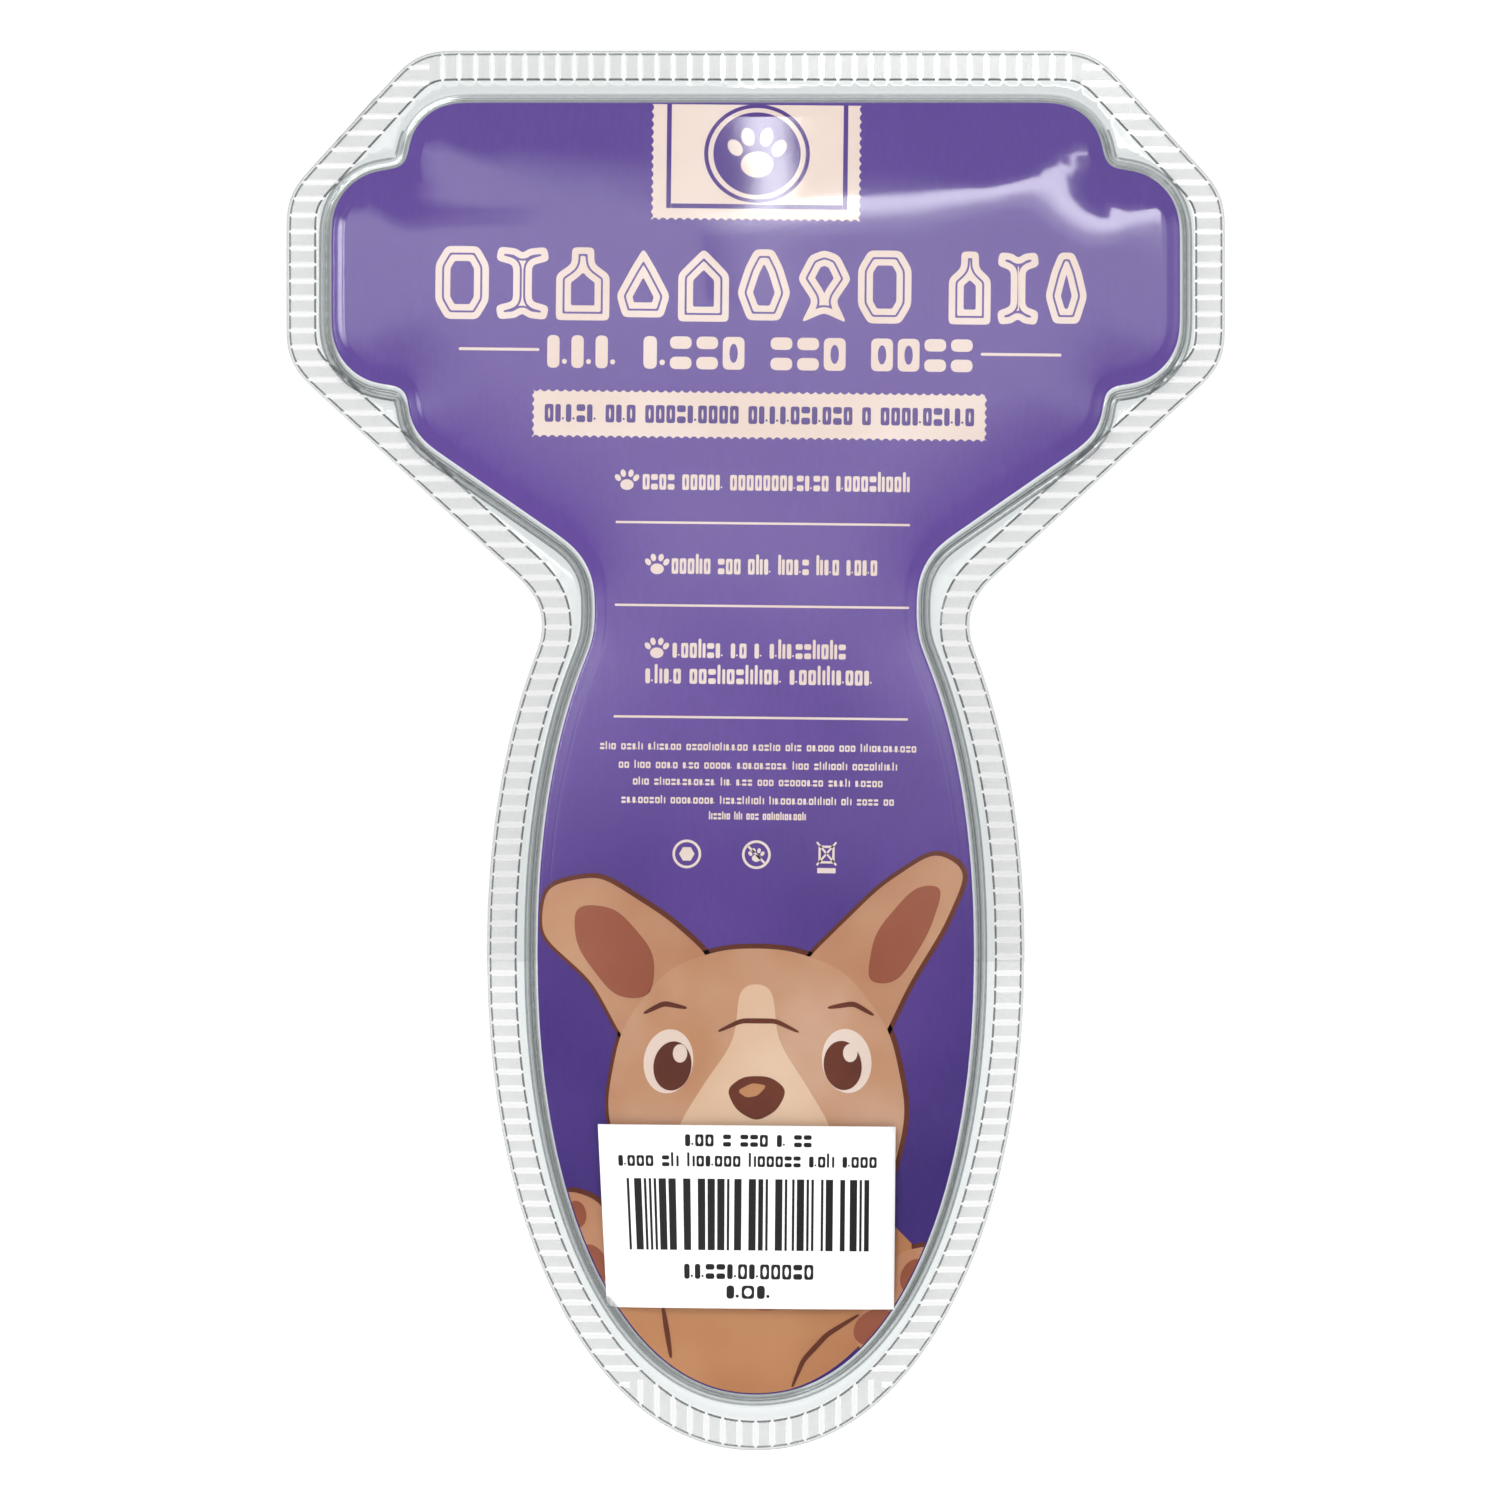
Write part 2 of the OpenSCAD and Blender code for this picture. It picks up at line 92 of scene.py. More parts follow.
class Outline:
    """A smooth closed curve that knows how far points lie outside it."""

    def __init__(self, points, step=0.5, blur=1.6):
        curve = resample(np.array(points, float), step)
        curve = resample(blurred(curve, blur / step), step) if blur else curve
        self.points = curve if area(curve) > 0 else curve[::-1]
        along = np.roll(self.points, -1, 0) - np.roll(self.points, 1, 0)
        self.normals = np.column_stack([along[:, 1], -along[:, 0]]) / np.hypot(*along.T)[:, None]

    def distance(self, places):
        """Signed distance of each place from the curve, positive outside."""
        places = np.atleast_2d(places)
        found = np.empty(len(places))
        for start in range(0, len(places), 4000):
            some = places[start:start + 4000]
            gaps = distances(some, self.points)
            near = gaps.argmin(1)
            least = gaps[np.arange(len(some)), near]
            side = np.sum((some - self.points[near]) * self.normals[near], 1)
            for step in (-1, 1):
                a = self.points[near]
                b = self.points[(near + step) % len(self.points)] - a
                share = np.clip(np.sum((some - a) * b, 1) / np.sum(b * b, 1), 0, 1)
                least = np.minimum(least, np.hypot(*(some - a - share[:, None] * b).T))
            found[start:start + 4000] = np.where(side < 0, -least, least)
        return found

    def ring(self, offset, step=1.0):
        """The curve moved outward by offset, without the loops that this makes at tight corners."""
        moved = self.points + self.normals * offset
        moved = moved[np.abs(self.distance(moved)) > abs(offset) - 0.02]
        return resample(moved, step) if len(moved) > 8 else moved


def plane_loops(node, y):
    """Closed outlines of a CAD node's flat faces at y, largest first."""
    mesh = NODES[node].data
    edges = set()
    for face in mesh.polygons:
        corners = [mesh.vertices[i].co / MM for i in face.vertices]
        if all(abs(corner.y - y) < 0.01 for corner in corners):
            flat = [(round(corner.x, 3), round(corner.z - TIP, 3)) for corner in corners]
            for edge in zip(flat, flat[1:] + flat[:1]):
                if edge[::-1] in edges:
                    edges.remove(edge[::-1])
                else:
                    edges.add(edge)
    after = dict(edges)
    loops = []
    while after:
        loop = [next(iter(after))]
        while loop[-1] in after:
            loop.append(after.pop(loop[-1]))
        loops.append(np.array(loop[:-1]))
    return sorted(loops, key=lambda loop: -abs(area(loop)))


def rounded_box(x0, x1, z0, z1, r, step=10):
    corners = [(x1 - r, z1 - r, 0), (x0 + r, z1 - r, 90), (x0 + r, z0 + r, 180), (x1 - r, z0 + r, 270)]
    return np.array([
        (cx + r * math.cos(math.radians(turn + a)), cz + r * math.sin(math.radians(turn + a)))
        for cx, cz, turn in corners for a in range(0, 91, step)
    ])


def ellipse(cx, cz, rx, rz, tilt=0, count=40):
    angles = np.linspace(0, 2 * math.pi, count, endpoint=False)
    c, s = math.cos(math.radians(tilt)), math.sin(math.radians(tilt))
    x, z = rx * np.cos(angles), rz * np.sin(angles)
    return np.column_stack([cx + x * c - z * s, cz + x * s + z * c])


def blob(points, blur=1.2, step=0.4):
    """A smooth closed shape through given corners."""
    return resample(Outline(points, 0.25, blur).points, step)


def stroke(points, width, blur=1.0, taper=0.25):
    """A brush stroke along a bent line, narrower towards both ends."""
    line = resample(np.array(points, float), 0.3, closed=False)
    for _ in range(round(8 * blur)):
        line[1:-1] = (line[:-2] + 2 * line[1:-1] + line[2:]) / 4
    along = np.gradient(line, axis=0)
    across = np.column_stack([-along[:, 1], along[:, 0]]) / np.hypot(*along.T)[:, None]
    share = np.linspace(0, 1, len(line))
    half = width / 2 * (taper + (1 - taper) * np.sin(math.pi * share) ** 0.5)
    return np.vstack([line + across * half[:, None], (line - across * half[:, None])[::-1]])


def turned(loop, degrees):
    """The loop turned about the origin."""
    turn = math.radians(degrees)
    return loop @ np.array([[math.cos(turn), math.sin(turn)], [-math.sin(turn), math.cos(turn)]])


# ---- meshes

def placed(name, data):
    """A new object in the scene."""
    obj = bpy.data.objects.new(name, data)
    bpy.context.scene.collection.objects.link(obj)
    return obj


def piece(name, points, faces, materials, body, smooth=True, slots=None):
    """A named mesh that rides on a body. Points are x, y and height above the tip."""
    mesh = bpy.data.meshes.new(name)
    place = (np.array(points, float) + (0, 0, TIP)) * MM
    mesh.from_pydata(place.tolist(), [], [list(map(int, face)) for face in faces])
    for material in materials:
        mesh.materials.append(material)
    if slots is not None:
        mesh.polygons.foreach_set("material_index", np.array(slots, np.int32))
    mesh.polygons.foreach_set("use_smooth", np.full(len(mesh.polygons), smooth))
    mesh.update()
    obj = placed(name, mesh)
    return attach(obj, body) if body else obj


def net(loops, lines, grid, outline):
    """Triangles that keep to the closed loops and open lines, inside the outline: (points, triangles)."""
    points, edges = [], []
    for path, closed in [(loop, True) for loop in loops] + [(line, False) for line in lines]:
        first = len(points)
        points += [Vector(p) for p in path]
        edges += [(first + i, first + i + 1) for i in range(len(path) - 1)]
        if closed:
            edges.append((len(points) - 1, first))
    points += [Vector(p) for p in grid]
    made, _, triangles, *_ = geometry.delaunay_2d_cdt(points, edges, [], 0, 1e-4)
    made = np.array([tuple(p) for p in made])
    triangles = np.array([t for t in triangles if len(t) == 3])
    middle = made[triangles].mean(1)
    return made, triangles[outline.distance(middle) < 0]


def prisms(shapes, y_front, y_back):
    """Thin closed plates of flat shapes. A shape is a loop, or a loop and the list of its holes."""
    points, faces = [], []
    for shape in shapes:
        outer, holes = shape if isinstance(shape, tuple) else (shape, [])
        loops = [outer if area(outer) > 0 else outer[::-1]]
        loops += [hole if area(hole) < 0 else hole[::-1] for hole in holes]
        flat = np.vstack(loops)
        first, count = len(points), len(flat)
        points += [(x, y_front, z) for x, z in flat] + [(x, y_back, z) for x, z in flat]
        for a, b, c in geometry.tessellate_polygon([[Vector((x, z, 0)) for x, z in loop] for loop in loops]):
            turn = np.cross(flat[b] - flat[a], flat[c] - flat[a])
            front = [first + k for k in ((a, b, c) if turn > 0 else (a, c, b))]
            faces += [tuple(front), tuple(count + k for k in (front[0], front[2], front[1]))]
        start = first
        for loop in loops:
            for i in range(len(loop)):
                a, b = start + i, start + (i + 1) % len(loop)
                faces.append((a, a + count, b + count, b))
            start += len(loop)
    return points, faces


def stack(rings):
    """A closed skin over rings of points that lie one above another: (points, faces)."""
    count, total = len(rings[0]), len(rings) * len(rings[0])
    faces = []
    for start in range(0, total - count, count):
        for k in range(count):
            a, b = start + k, start + (k + 1) % count
            faces.append((a, b, b + count, a + count))
    faces += [tuple(range(count - 1, -1, -1)), tuple(range(total - count, total))]
    return np.vstack(rings), faces


# ---- materials

WHITE = (1, 1, 1, 1)
BLACK = (0, 0, 0, 1)
PATCH_SCALE = 40.0  # of the slow drift of colour in a solid material


def linear(c):
    """A linear share of light from a 0-255 display value."""
    return c / 255 / 12.92 if c < 11 else ((c / 255 + 0.055) / 1.055) ** 2.4


def srgb(r, g, b):
    """A linear colour from 0-255 display values."""
    return linear(r), linear(g), linear(b), 1.0


class Paint:
    """A material under construction."""

    def __init__(self, name):
        self.material = bpy.data.materials.new(name)
        self.material.use_nodes = True
        self.tree = self.material.node_tree
        self.tree.nodes.clear()
        self.output = self.tree.nodes.new("ShaderNodeOutputMaterial")

    def add(self, kind, inputs=None, **settings):
        """Adds a node; an input is given a value, or linked where the value is a socket."""
        node = self.tree.nodes.new("ShaderNode" + kind)
        for key, value in settings.items():
            setattr(node, key, value)
        for key, value in (inputs or {}).items():
            if isinstance(value, bpy.types.NodeSocket):
                self.tree.links.new(value, node.inputs[key])
            else:
                node.inputs[key].default_value = value
        return node

    def where(self):
        return self.add("TexCoord").outputs["Object"]

    def noise(self, scale, detail=2.0, stretch=None):
        place = self.where()
        if stretch:
            place = self.add("Mapping", {"Vector": place, "Scale": stretch}).outputs[0]
        return self.add("TexNoise", {"Vector": place, "Scale": scale, "Detail": detail}).outputs["Fac"]

    def ramp(self, factor, stops):
        node = self.add("ValToRGB", {"Fac": factor})
        while len(node.color_ramp.elements) < len(stops):
            node.color_ramp.elements.new(0.5)
        for element, (place, colour) in zip(node.color_ramp.elements, stops):
            element.position, element.color = place, colour
        return node.outputs["Color"]

    def bump(self, height, strength, distance):
        return self.add("Bump", {"Height": height, "Strength": strength, "Distance": distance}).outputs[0]

    def done(self, shader):
        self.tree.links.new(shader, self.output.inputs["Surface"])
        return self.material


def solid(name, colour, second, roughness, grain, bump, stretch=None, **more):
    """A material that drifts between two tones of 0-255 values, with a fine grain in bump and roughness."""
    paint = Paint(name)
    tone = paint.ramp(paint.noise(PATCH_SCALE, 3.0), [(0.35, srgb(*second)), (0.65, srgb(*colour))])
    fine = paint.noise(grain, 3.0, stretch)
    rough = paint.add("MapRange", {"Value": fine, "To Min": roughness * 0.85, "To Max": roughness * 1.15})
    inputs = {"Base Color": tone, "Roughness": rough.outputs[0],
              "Normal": paint.bump(fine, 0.5, bump * MM)}
    return paint.done(paint.add("BsdfPrincipled", {**inputs, **more}).outputs[0])


def clear(name, tint, edge, frost=0.0, frost_colour=WHITE, rough=0.04):
    """Clear sheet: see-through where it faces the eye, darker and glossier where it turns away."""
    paint = Paint(name)
    facing = paint.add("LayerWeight", {"Blend": 0.5}).outputs["Facing"]
    fourth = paint.add("Math", {0: facing, 1: 4.0}, operation="POWER").outputs[0]
    gloss_share = paint.add("MapRange", {"Value": fourth, "To Min": 0.045, "To Max": 0.9}).outputs[0]
    second = paint.add("Math", {0: facing, 1: 2.2}, operation="POWER").outputs[0]
    colour = paint.add("Mix", {"Factor": second, "A": tint, "B": edge}, data_type="RGBA").outputs["Result"]
    through = paint.add("BsdfTransparent", {"Color": colour}).outputs[0]
    if frost:
        grey = paint.add("BsdfDiffuse", {"Color": frost_colour}).outputs[0]
        through = paint.add("MixShader", {0: frost, 1: through, 2: grey}).outputs[0]
    gloss = paint.add("BsdfGlossy", {"Color": WHITE, "Roughness": rough}).outputs[0]
    return paint.done(paint.add("MixShader", {0: gloss_share, 1: through, 2: gloss}).outputs[0])


GLOW_TOP = 12.0  # the light that a ramp's full white stands for


def glow(name, rising, across):
    """A reflection card: its light follows one ramp up the card, times another across it."""
    paint = Paint(name)
    place = paint.add("SeparateXYZ", {0: paint.add("TexCoord").outputs["Generated"]})

    def light(axis, stops):
        grey = [(at, (v / GLOW_TOP, v / GLOW_TOP, v / GLOW_TOP, 1)) for at, v in stops]
        return paint.ramp(place.outputs[axis], grey)

    inputs = {"Factor": 1.0, "A": light(1, rising), "B": light(0, across)}
    colour = paint.add("Mix", inputs, data_type="RGBA", blend_type="MULTIPLY").outputs["Result"]
    return paint.done(paint.add("Emission", {"Color": colour, "Strength": GLOW_TOP ** 2}).outputs[0])


CLEAR = clear("clear_sheet", (0.955, 0.965, 0.965, 1), (0.6, 0.63, 0.62, 1))
PANEL = clear("clear_panel", (0.985, 0.985, 0.985, 1), (0.42, 0.44, 0.47, 1))
WELD = clear("weld_land", (0.92, 0.927, 0.925, 1), (0.4, 0.42, 0.45, 1), frost=0.22,
             frost_colour=(0.62, 0.63, 0.63, 1), rough=0.3)
RAMP = clear("weld_ramp", (0.998, 0.998, 0.998, 1), (0.9, 0.92, 0.94, 1), rough=0.12)
# Painted shade: dark tinted see-through strips laid on the lands' ends and the rim's bend lines, where the
# sheet's bends darken the view through it
SHADE_STRIP = clear("weld_painted_shade", (0.45, 0.47, 0.47, 1), (0.14, 0.16, 0.18, 1), rough=0.12)


# ---- outlines from the frame

FLANGE = Outline(plane_loops("back_shell", 0)[0])
LOW, HIGH = FLANGE.points.min(0), FLANGE.points.max(0)
CARD = Outline(plane_loops("card_insert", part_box("card_insert")[0].y / MM)[0])
FRONT_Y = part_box("front_shell")[1].y / MM
POCKET = Outline(plane_loops("front_shell", FRONT_Y)[0])

# The weld: lands pressed in rows round the flange, with a narrow rib between neighbours
LAND_PITCH = 2.88
RIB = 0.45
RAMP_W = 0.27
LAND_RISE = 0.09
END_W = 0.36
WELD_OUT = 0.45
WELD_IN = 5.2
TOP_ROW_HALF = 57.0
TOP_ROW_Z = 236.5
LOW_ROW_HALF = 22.0
LOW_ROW_Z = 12.5

# Profile of the back panel's rim: (distance outside the card's edge, y)
PANEL_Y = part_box("back_shell")[0].y / MM
RIM = np.array([
    (-2.6, PANEL_Y), (-2.3, -4.985), (-2.0, -4.945), (-1.1, -4.835), (-0.5, -4.76), (0.0, -4.68),
    (0.4, -4.5), (0.7, -4.1), (0.95, -3.5), (1.15, -2.8), (1.35, -2.0), (1.55, -1.3), (1.8, -0.7),
    (2.1, -0.3), (2.3, -0.17), (2.5, -0.08), (3.0, 0.0)
])
# Painted shade lines where the rim's sheet bends, in the dark tinted strip material: distance outside the
# card's edge, from and to
RIM_SHADE_LINES = ((1.15, 1.35), (2.3, 2.5))
RIM_SHADE_LINES_TOP = 231.0  # they end here, short of the panel's top edge
# Profile of the front bubble: (distance outside the card's edge, y)
BUBBLE = np.array([
    (0.1, 12.0), (0.7, 11.8), (1.05, 11.4), (1.3, 10.7), (1.5, 9.0), (1.7, 6.5), (1.95, 4.0), (2.15, 2.4),
    (2.35, 1.6), (2.7, 1.15), (3.2, 1.0)
])
FRONT_WAVE = 0.05
FRONT_DISH = 0.3
# Profile of the T-shaped pocket: (distance outside its roof's edge, rise)
WALL = np.array([
    (1.3, 0.0), (0.9, 0.12), (0.6, 0.5), (0.35, 1.3), (0.15, 3.5), (-0.1, 9.0), (-0.4, 18.0), (-0.7, 26.0),
    (-0.95, 29.6), (-1.25, 31.0), (-1.7, 31.75), (-2.4, 32.0)
])


def wobble(x, z, seed, size):
    """A smooth random field of about unit height whose bumps are about size across."""
    draw = random.Random(seed)
    total = 0
    for _ in range(14):
        angle, phase = draw.uniform(0, 2 * math.pi), draw.uniform(0, 2 * math.pi)
        rate = 2 * math.pi / (size * draw.uniform(0.8, 2.2))
        total = total + np.sin(rate * (x * math.cos(angle) + z * math.sin(angle)) + phase)
    return total / 14 ** 0.5


def smoothstep(v):
    v = np.clip(v, 0, 1)
    return v * v * (3 - 2 * v)


# The fold in the panel at its top right: above this line the sheet falls away towards the card's top edge
FOLD = np.array([
    (-34, 214.5), (-10, 215), (12, 215.6), (30, 217.4), (42, 220), (48.5, 224), (51, 229), (56, 233.5)
])
FOLD_RISE = 0.52
FOLD_DROP = 0.7
FOLD_SOFT = 0.045
FOLD_BELOW = 12.0  # the fold reaches this far below its line
FOLD_FLOOR = 195.0
FOLD_FADE_X = -75.0  # it fades in from here, over FOLD_FADE
FOLD_FADE = 70.0
NO_FOLD = 2.0
BULGE = 0.55
BULGE_WIDTH = 16.0
PANEL_START = 1.5  # the panel's bulge starts this far inside the card's edge
PANEL_WAVE = 0.05
NUBS = ((-47.0, 225.0), (63.0, 219.0))
NUB_RISE = 0.15
NUB_R = 0.8


def fold_side(places):
    """How far places lie above and left of the fold line, negative below and right."""
    line = resample(FOLD, 0.5, closed=False)
    gaps = distances(places, line)
    near = gaps.argmin(1)
    along = np.gradient(line, axis=0)[near]
    offset = places - line[near]
    side = along[:, 0] * offset[:, 1] - along[:, 1] * offset[:, 0]
    return np.where(side > 0, 1, -1) * gaps[np.arange(len(places)), near]


def soft_least(a, b):
    """The lower of two heights, rounded where they cross."""
    low = np.minimum(a, b)
    return low - FOLD_SOFT * np.log(np.exp((low - a) / FOLD_SOFT) + np.exp((low - b) / FOLD_SOFT))


def panel_y(places):
    """Outer surface of the back panel over flat places."""
    edge = CARD.distance(places)
    x, z = places.T
    depth = np.clip(-edge - PANEL_START, 0, None)
    pillow = BULGE * (1 - np.clip(1 - depth / BULGE_WIDTH, 0, 1) ** 2)
    side = fold_side(places)
    share = np.where(side > 0, side / (np.maximum(side, 0) + depth + 2), side / 16)
    fold = np.where((z > FOLD_FLOOR) & (side > -FOLD_BELOW), FOLD_RISE - FOLD_DROP * share, NO_FOLD)
    rise = pillow + (soft_least(pillow, fold) - pillow) * smoothstep((x - FOLD_FADE_X) / FOLD_FADE)
    rise = np.where(edge < -PANEL_START, rise + 0.02 * np.exp(-depth / 2), 0)
    wave = PANEL_WAVE * smoothstep(depth / 14) * wobble(x, z, 3, 30)
    y = np.interp(edge, RIM[:, 0], RIM[:, 1]) - rise - wave
    for nub_x, nub_z in NUBS:
        y = y - NUB_RISE * np.exp(-((x - nub_x) ** 2 + (z - nub_z) ** 2) / (2 * NUB_R ** 2))
    return y


def upright(places):
    """True where the weld's ribs stand upright: along the top and at the foot."""
    x, z = places.T
    top = (np.abs(x) < TOP_ROW_HALF) & (z > TOP_ROW_Z)
    return top | ((np.abs(x) < LOW_ROW_HALF) & (z < LOW_ROW_Z))


def rib_gap(places):
    """Distance from the middle of the nearest rib, measured along the row."""
    row = np.where(upright(places), places[:, 0], places[:, 1])
    return np.abs((row + LAND_PITCH / 2) % LAND_PITCH - LAND_PITCH / 2)


def land(places, inset):
    """Share of a land's height: 1 on a land, 0 on the ribs and outside the weld."""
    side = np.clip((rib_gap(places) - RIB / 2) / RAMP_W, 0, 1)
    outer = np.clip((inset - WELD_OUT) / RAMP_W, 0, 1)
    inner = np.clip((WELD_IN - inset) / END_W, 0, 1)
    return np.minimum(side, np.minimum(outer, inner))


def line_points(axis, across, along):
    """Points of a line at across on one axis, for each value of along on the other."""
    places = np.empty((len(along), 2))
    places[:, axis], places[:, 1 - axis] = across, along
    return places


def rib_lines():
    """The four edges of every rib, cut to the weld."""
    lines = []
    edges = (-RIB / 2 - RAMP_W, -RIB / 2, RIB / 2, RIB / 2 + RAMP_W)
    for axis in (0, 1):
        coarse = np.arange(LOW[1 - axis] - 1, HIGH[1 - axis] + 1, 0.6)
        span = np.arange(coarse[0], coarse[-1], 0.05)
        for k in range(math.ceil(LOW[axis] / LAND_PITCH), math.floor(HIGH[axis] / LAND_PITCH) + 1):
            for edge in edges:
                across = k * LAND_PITCH + edge
                inset = np.interp(span, coarse, -FLANGE.distance(line_points(axis, across, coarse)))
                places = line_points(axis, across, span)
                inside = (inset > WELD_OUT) & (inset < WELD_IN) & (upright(places) == (axis == 0))
                for run in np.split(np.arange(len(span)), np.flatnonzero(np.diff(inside)) + 1):
                    if inside[run[0]] and len(run) > 3:
                        lines.append(places[run[[0, -1]]])
    return lines


def grid_points(step, keep):
    xs, zs = np.meshgrid(np.arange(LOW[0], HIGH[0], step), np.arange(LOW[1], HIGH[1], step))
    places = np.column_stack([xs.ravel() + 0.37, zs.ravel() + 0.21])
    return places[keep(places)]


WELD_RINGS = [FLANGE.ring(-inset) for inset in (WELD_OUT, WELD_OUT + RAMP_W, WELD_IN - END_W, WELD_IN)]
RIBS = rib_lines()
SHELL_LOOKS = [CLEAR, WELD, RAMP, SHADE_STRIP, PANEL]


def weld_slots(places):
    """Material of each face from its middle, as its place in SHELL_LOOKS."""
    inset, edge = -FLANGE.distance(places), CARD.distance(places)
    height = land(places, inset)
    panel = (edge < 0.2) | ((inset > WELD_OUT) & (inset < WELD_IN) & (rib_gap(places) < RIB / 2))
    # Painted shade: faces on the rim's bend lines take slot 3, a dark tinted strip, up to a height short of
    # the panel's top
    line = np.any([(edge > near) & (edge < far) for near, far in RIM_SHADE_LINES], axis=0)
    line &= places[:, 1] < RIM_SHADE_LINES_TOP
    ramp = (height > 0.03) & (height < 0.97)
    # Painted shade: the steep ramps at the lands' inner and outer ends also take slot 3, the dark tinted
    # strip
    end = ramp & ((inset > WELD_IN - END_W) | (inset < WELD_OUT + RAMP_W))
    return np.select([line, panel, inset > WELD_IN, end, ramp], [3, 4, 0, 3, 2], 1)


def shell(name, node, body, rings, step, height, ribbed):
    """A clear shell with its flange; height gives y over flat places. The back one has the weld's ribs."""
    def far(places):
        """True where a place is clear of the rim and the weld, which have points of their own."""
        edge = CARD.distance(places)
        return ((edge < -3.4) | (edge > 4.2)) & (FLANGE.distance(places) < -WELD_IN - 1.2)

    loops = [FLANGE.ring(-0.02)] + (WELD_RINGS if ribbed else [WELD_RINGS[-1]]) + rings
    places, triangles = net(loops, RIBS if ribbed else [], grid_points(step, far), FLANGE)
    y = height(places)
    if ribbed:
        y = y - LAND_RISE * land(places, -FLANGE.distance(places))
    points = np.insert(places, 1, y, axis=1)
    faces = triangles if ribbed else triangles[:, ::-1]
    middle = places[faces].mean(1)
    inset = -FLANGE.distance(middle)
    plain = np.where(inset < WELD_IN, SHELL_LOOKS.index(PANEL), 0)
    obj = piece(name, points, faces, SHELL_LOOKS, body, slots=weld_slots(middle) if ribbed else plain)
    obj.data.polygons.foreach_set("use_smooth", inset > WELD_IN)
    wall = obj.modifiers.new("sheet", "SOLIDIFY")
    wall.thickness, wall.offset = SHEET * MM, -1
    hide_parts(node)
    return obj


def front_y(places):
    """Outer surface of the front bubble and its pocket over flat places."""
    edge, pocket = CARD.distance(places), POCKET.distance(places)
    x, z = places.T
    y = np.interp(edge, BUBBLE[:, 0], BUBBLE[:, 1]) + np.interp(pocket, WALL[::-1, 0], WALL[::-1, 1])
    roof = smoothstep(-(pocket + 2) / 10)
    flat = smoothstep(-(edge + 1) / 6)
    dish = FRONT_DISH * flat * (1 - roof) * smoothstep(-(edge + 2) / 9)
    return y + FRONT_WAVE * wobble(x, z, 5, 24) * flat - dish


def make_shells():
    rim = [CARD.ring(d) for d in RIM[:, 0]]
    shell("back_shell_sheet", "back_shell", "root", rim, 2.4, panel_y, True)
    walls = [CARD.ring(d) for d in BUBBLE[:, 0]] + [POCKET.ring(d) for d in WALL[:, 0]]
    shell("front_shell_sheet", "front_shell", "front", walls, 3.2, front_y, False)


# ---- the card and its print

CARD_FACE = -4.16
CARD_BACK = -3.86
INK_STEP = 0.03
INK_T = 0.02
PRINT_TILT = -0.62
CARD_MIDDLE = np.array([0.0, 122.0])


def ink_paint(name, colour, second):
    return solid(name, colour, second, roughness=0.42, grain=2200, bump=0.001)


CREAM = ink_paint("ink_cream", (248, 230, 219), (241, 219, 204))
VIOLET = ink_paint("ink_violet", (92, 62, 150), (84, 56, 142))
TAN = ink_paint("ink_tan", (219, 176, 146), (202, 146, 106))
SAND = ink_paint("ink_sand", (240, 208, 178), (230, 190, 156))
CARAMEL = ink_paint("ink_caramel", (206, 146, 98), (190, 126, 80))
BROWN = ink_paint("ink_brown", (120, 56, 34), (104, 46, 28))
FAWN = ink_paint("ink_fawn", (211, 162, 126), (196, 136, 98))
ROSE = ink_paint("ink_rose", (170, 98, 72), (158, 82, 54))


def card_material():
    """Coated purple board with painted light and shade: lighter at the head, deeper towards the foot and in
    soft patches, for how the light falls across the card.
    """
    paint = Paint("card_board")
    height = paint.add("SeparateXYZ", {0: paint.where()}).outputs[2]
    # Painted light and shade: the board gets lighter towards the head and darker towards the foot, with soft
    # noise patches, for the light falling across it
    rise = paint.add("MapRange", {"Value": height, "From Min": TIP * MM + 0.04, "From Max": TIP * MM + 0.235})
    patch = paint.noise(28.0, 3.0)
    light_and_shade = paint.add("Math", {0: patch, 1: 0.55, 2: -0.27}, operation="MULTIPLY_ADD").outputs[0]
    light_and_shade = paint.add("Math", {0: rise.outputs[0], 1: light_and_shade}, operation="ADD").outputs[0]
    tone = paint.ramp(light_and_shade, [(0.0, srgb(62, 32, 128)), (0.5, srgb(104, 70, 164)), (1.0, srgb(98, 70, 158))])
    fibre = paint.noise(1800.0, 2.0, (1, 1, 0.25))
    mix = {"Factor": 0.05, "A": tone, "B": paint.ramp(fibre, [(0.3, BLACK), (0.7, WHITE)])}
    tone = paint.add("Mix", mix, data_type="RGBA", blend_type="OVERLAY").outputs["Result"]
    inputs = {"Base Color": tone, "Roughness": 0.45, "Normal": paint.bump(fibre, 0.15, 0.001 * MM)}
    return paint.done(paint.add("BsdfPrincipled", inputs).outputs[0])


PRINT_MARGIN = 0.25


def printed(loop):
    """A loop of the artwork where it lands on the card: tilted with the sheet, and kept inside its edge."""
    moved = turned(np.array(loop) - CARD_MIDDLE, PRINT_TILT) + CARD_MIDDLE
    near = np.abs(moved[:, 0]) > 30
    near |= (moved[:, 1] < 40) | (moved[:, 1] > 225)
    if near.any():
        over = np.maximum(CARD.distance(moved[near]) + PRINT_MARGIN, 0)
        moved[near] -= CARD.normals[distances(moved[near], CARD.points).argmin(1)] * over[:, None]
    return moved


def laid(shapes, move):
    """The shapes with every loop and hole moved."""
    return [(move(s[0]), [move(hole) for hole in s[1]]) if isinstance(s, tuple) else move(s) for s in shapes]


def ink(name, shapes, level, material):
    """One ink of the artwork, as thin plates on the card. Higher levels lie over lower ones."""
    face = CARD_FACE - INK_STEP * level
    points, faces = prisms(laid(shapes, printed), face, face + INK_T)
    obj = piece(name, points, faces, [material], "root", smooth=False)
    return obj


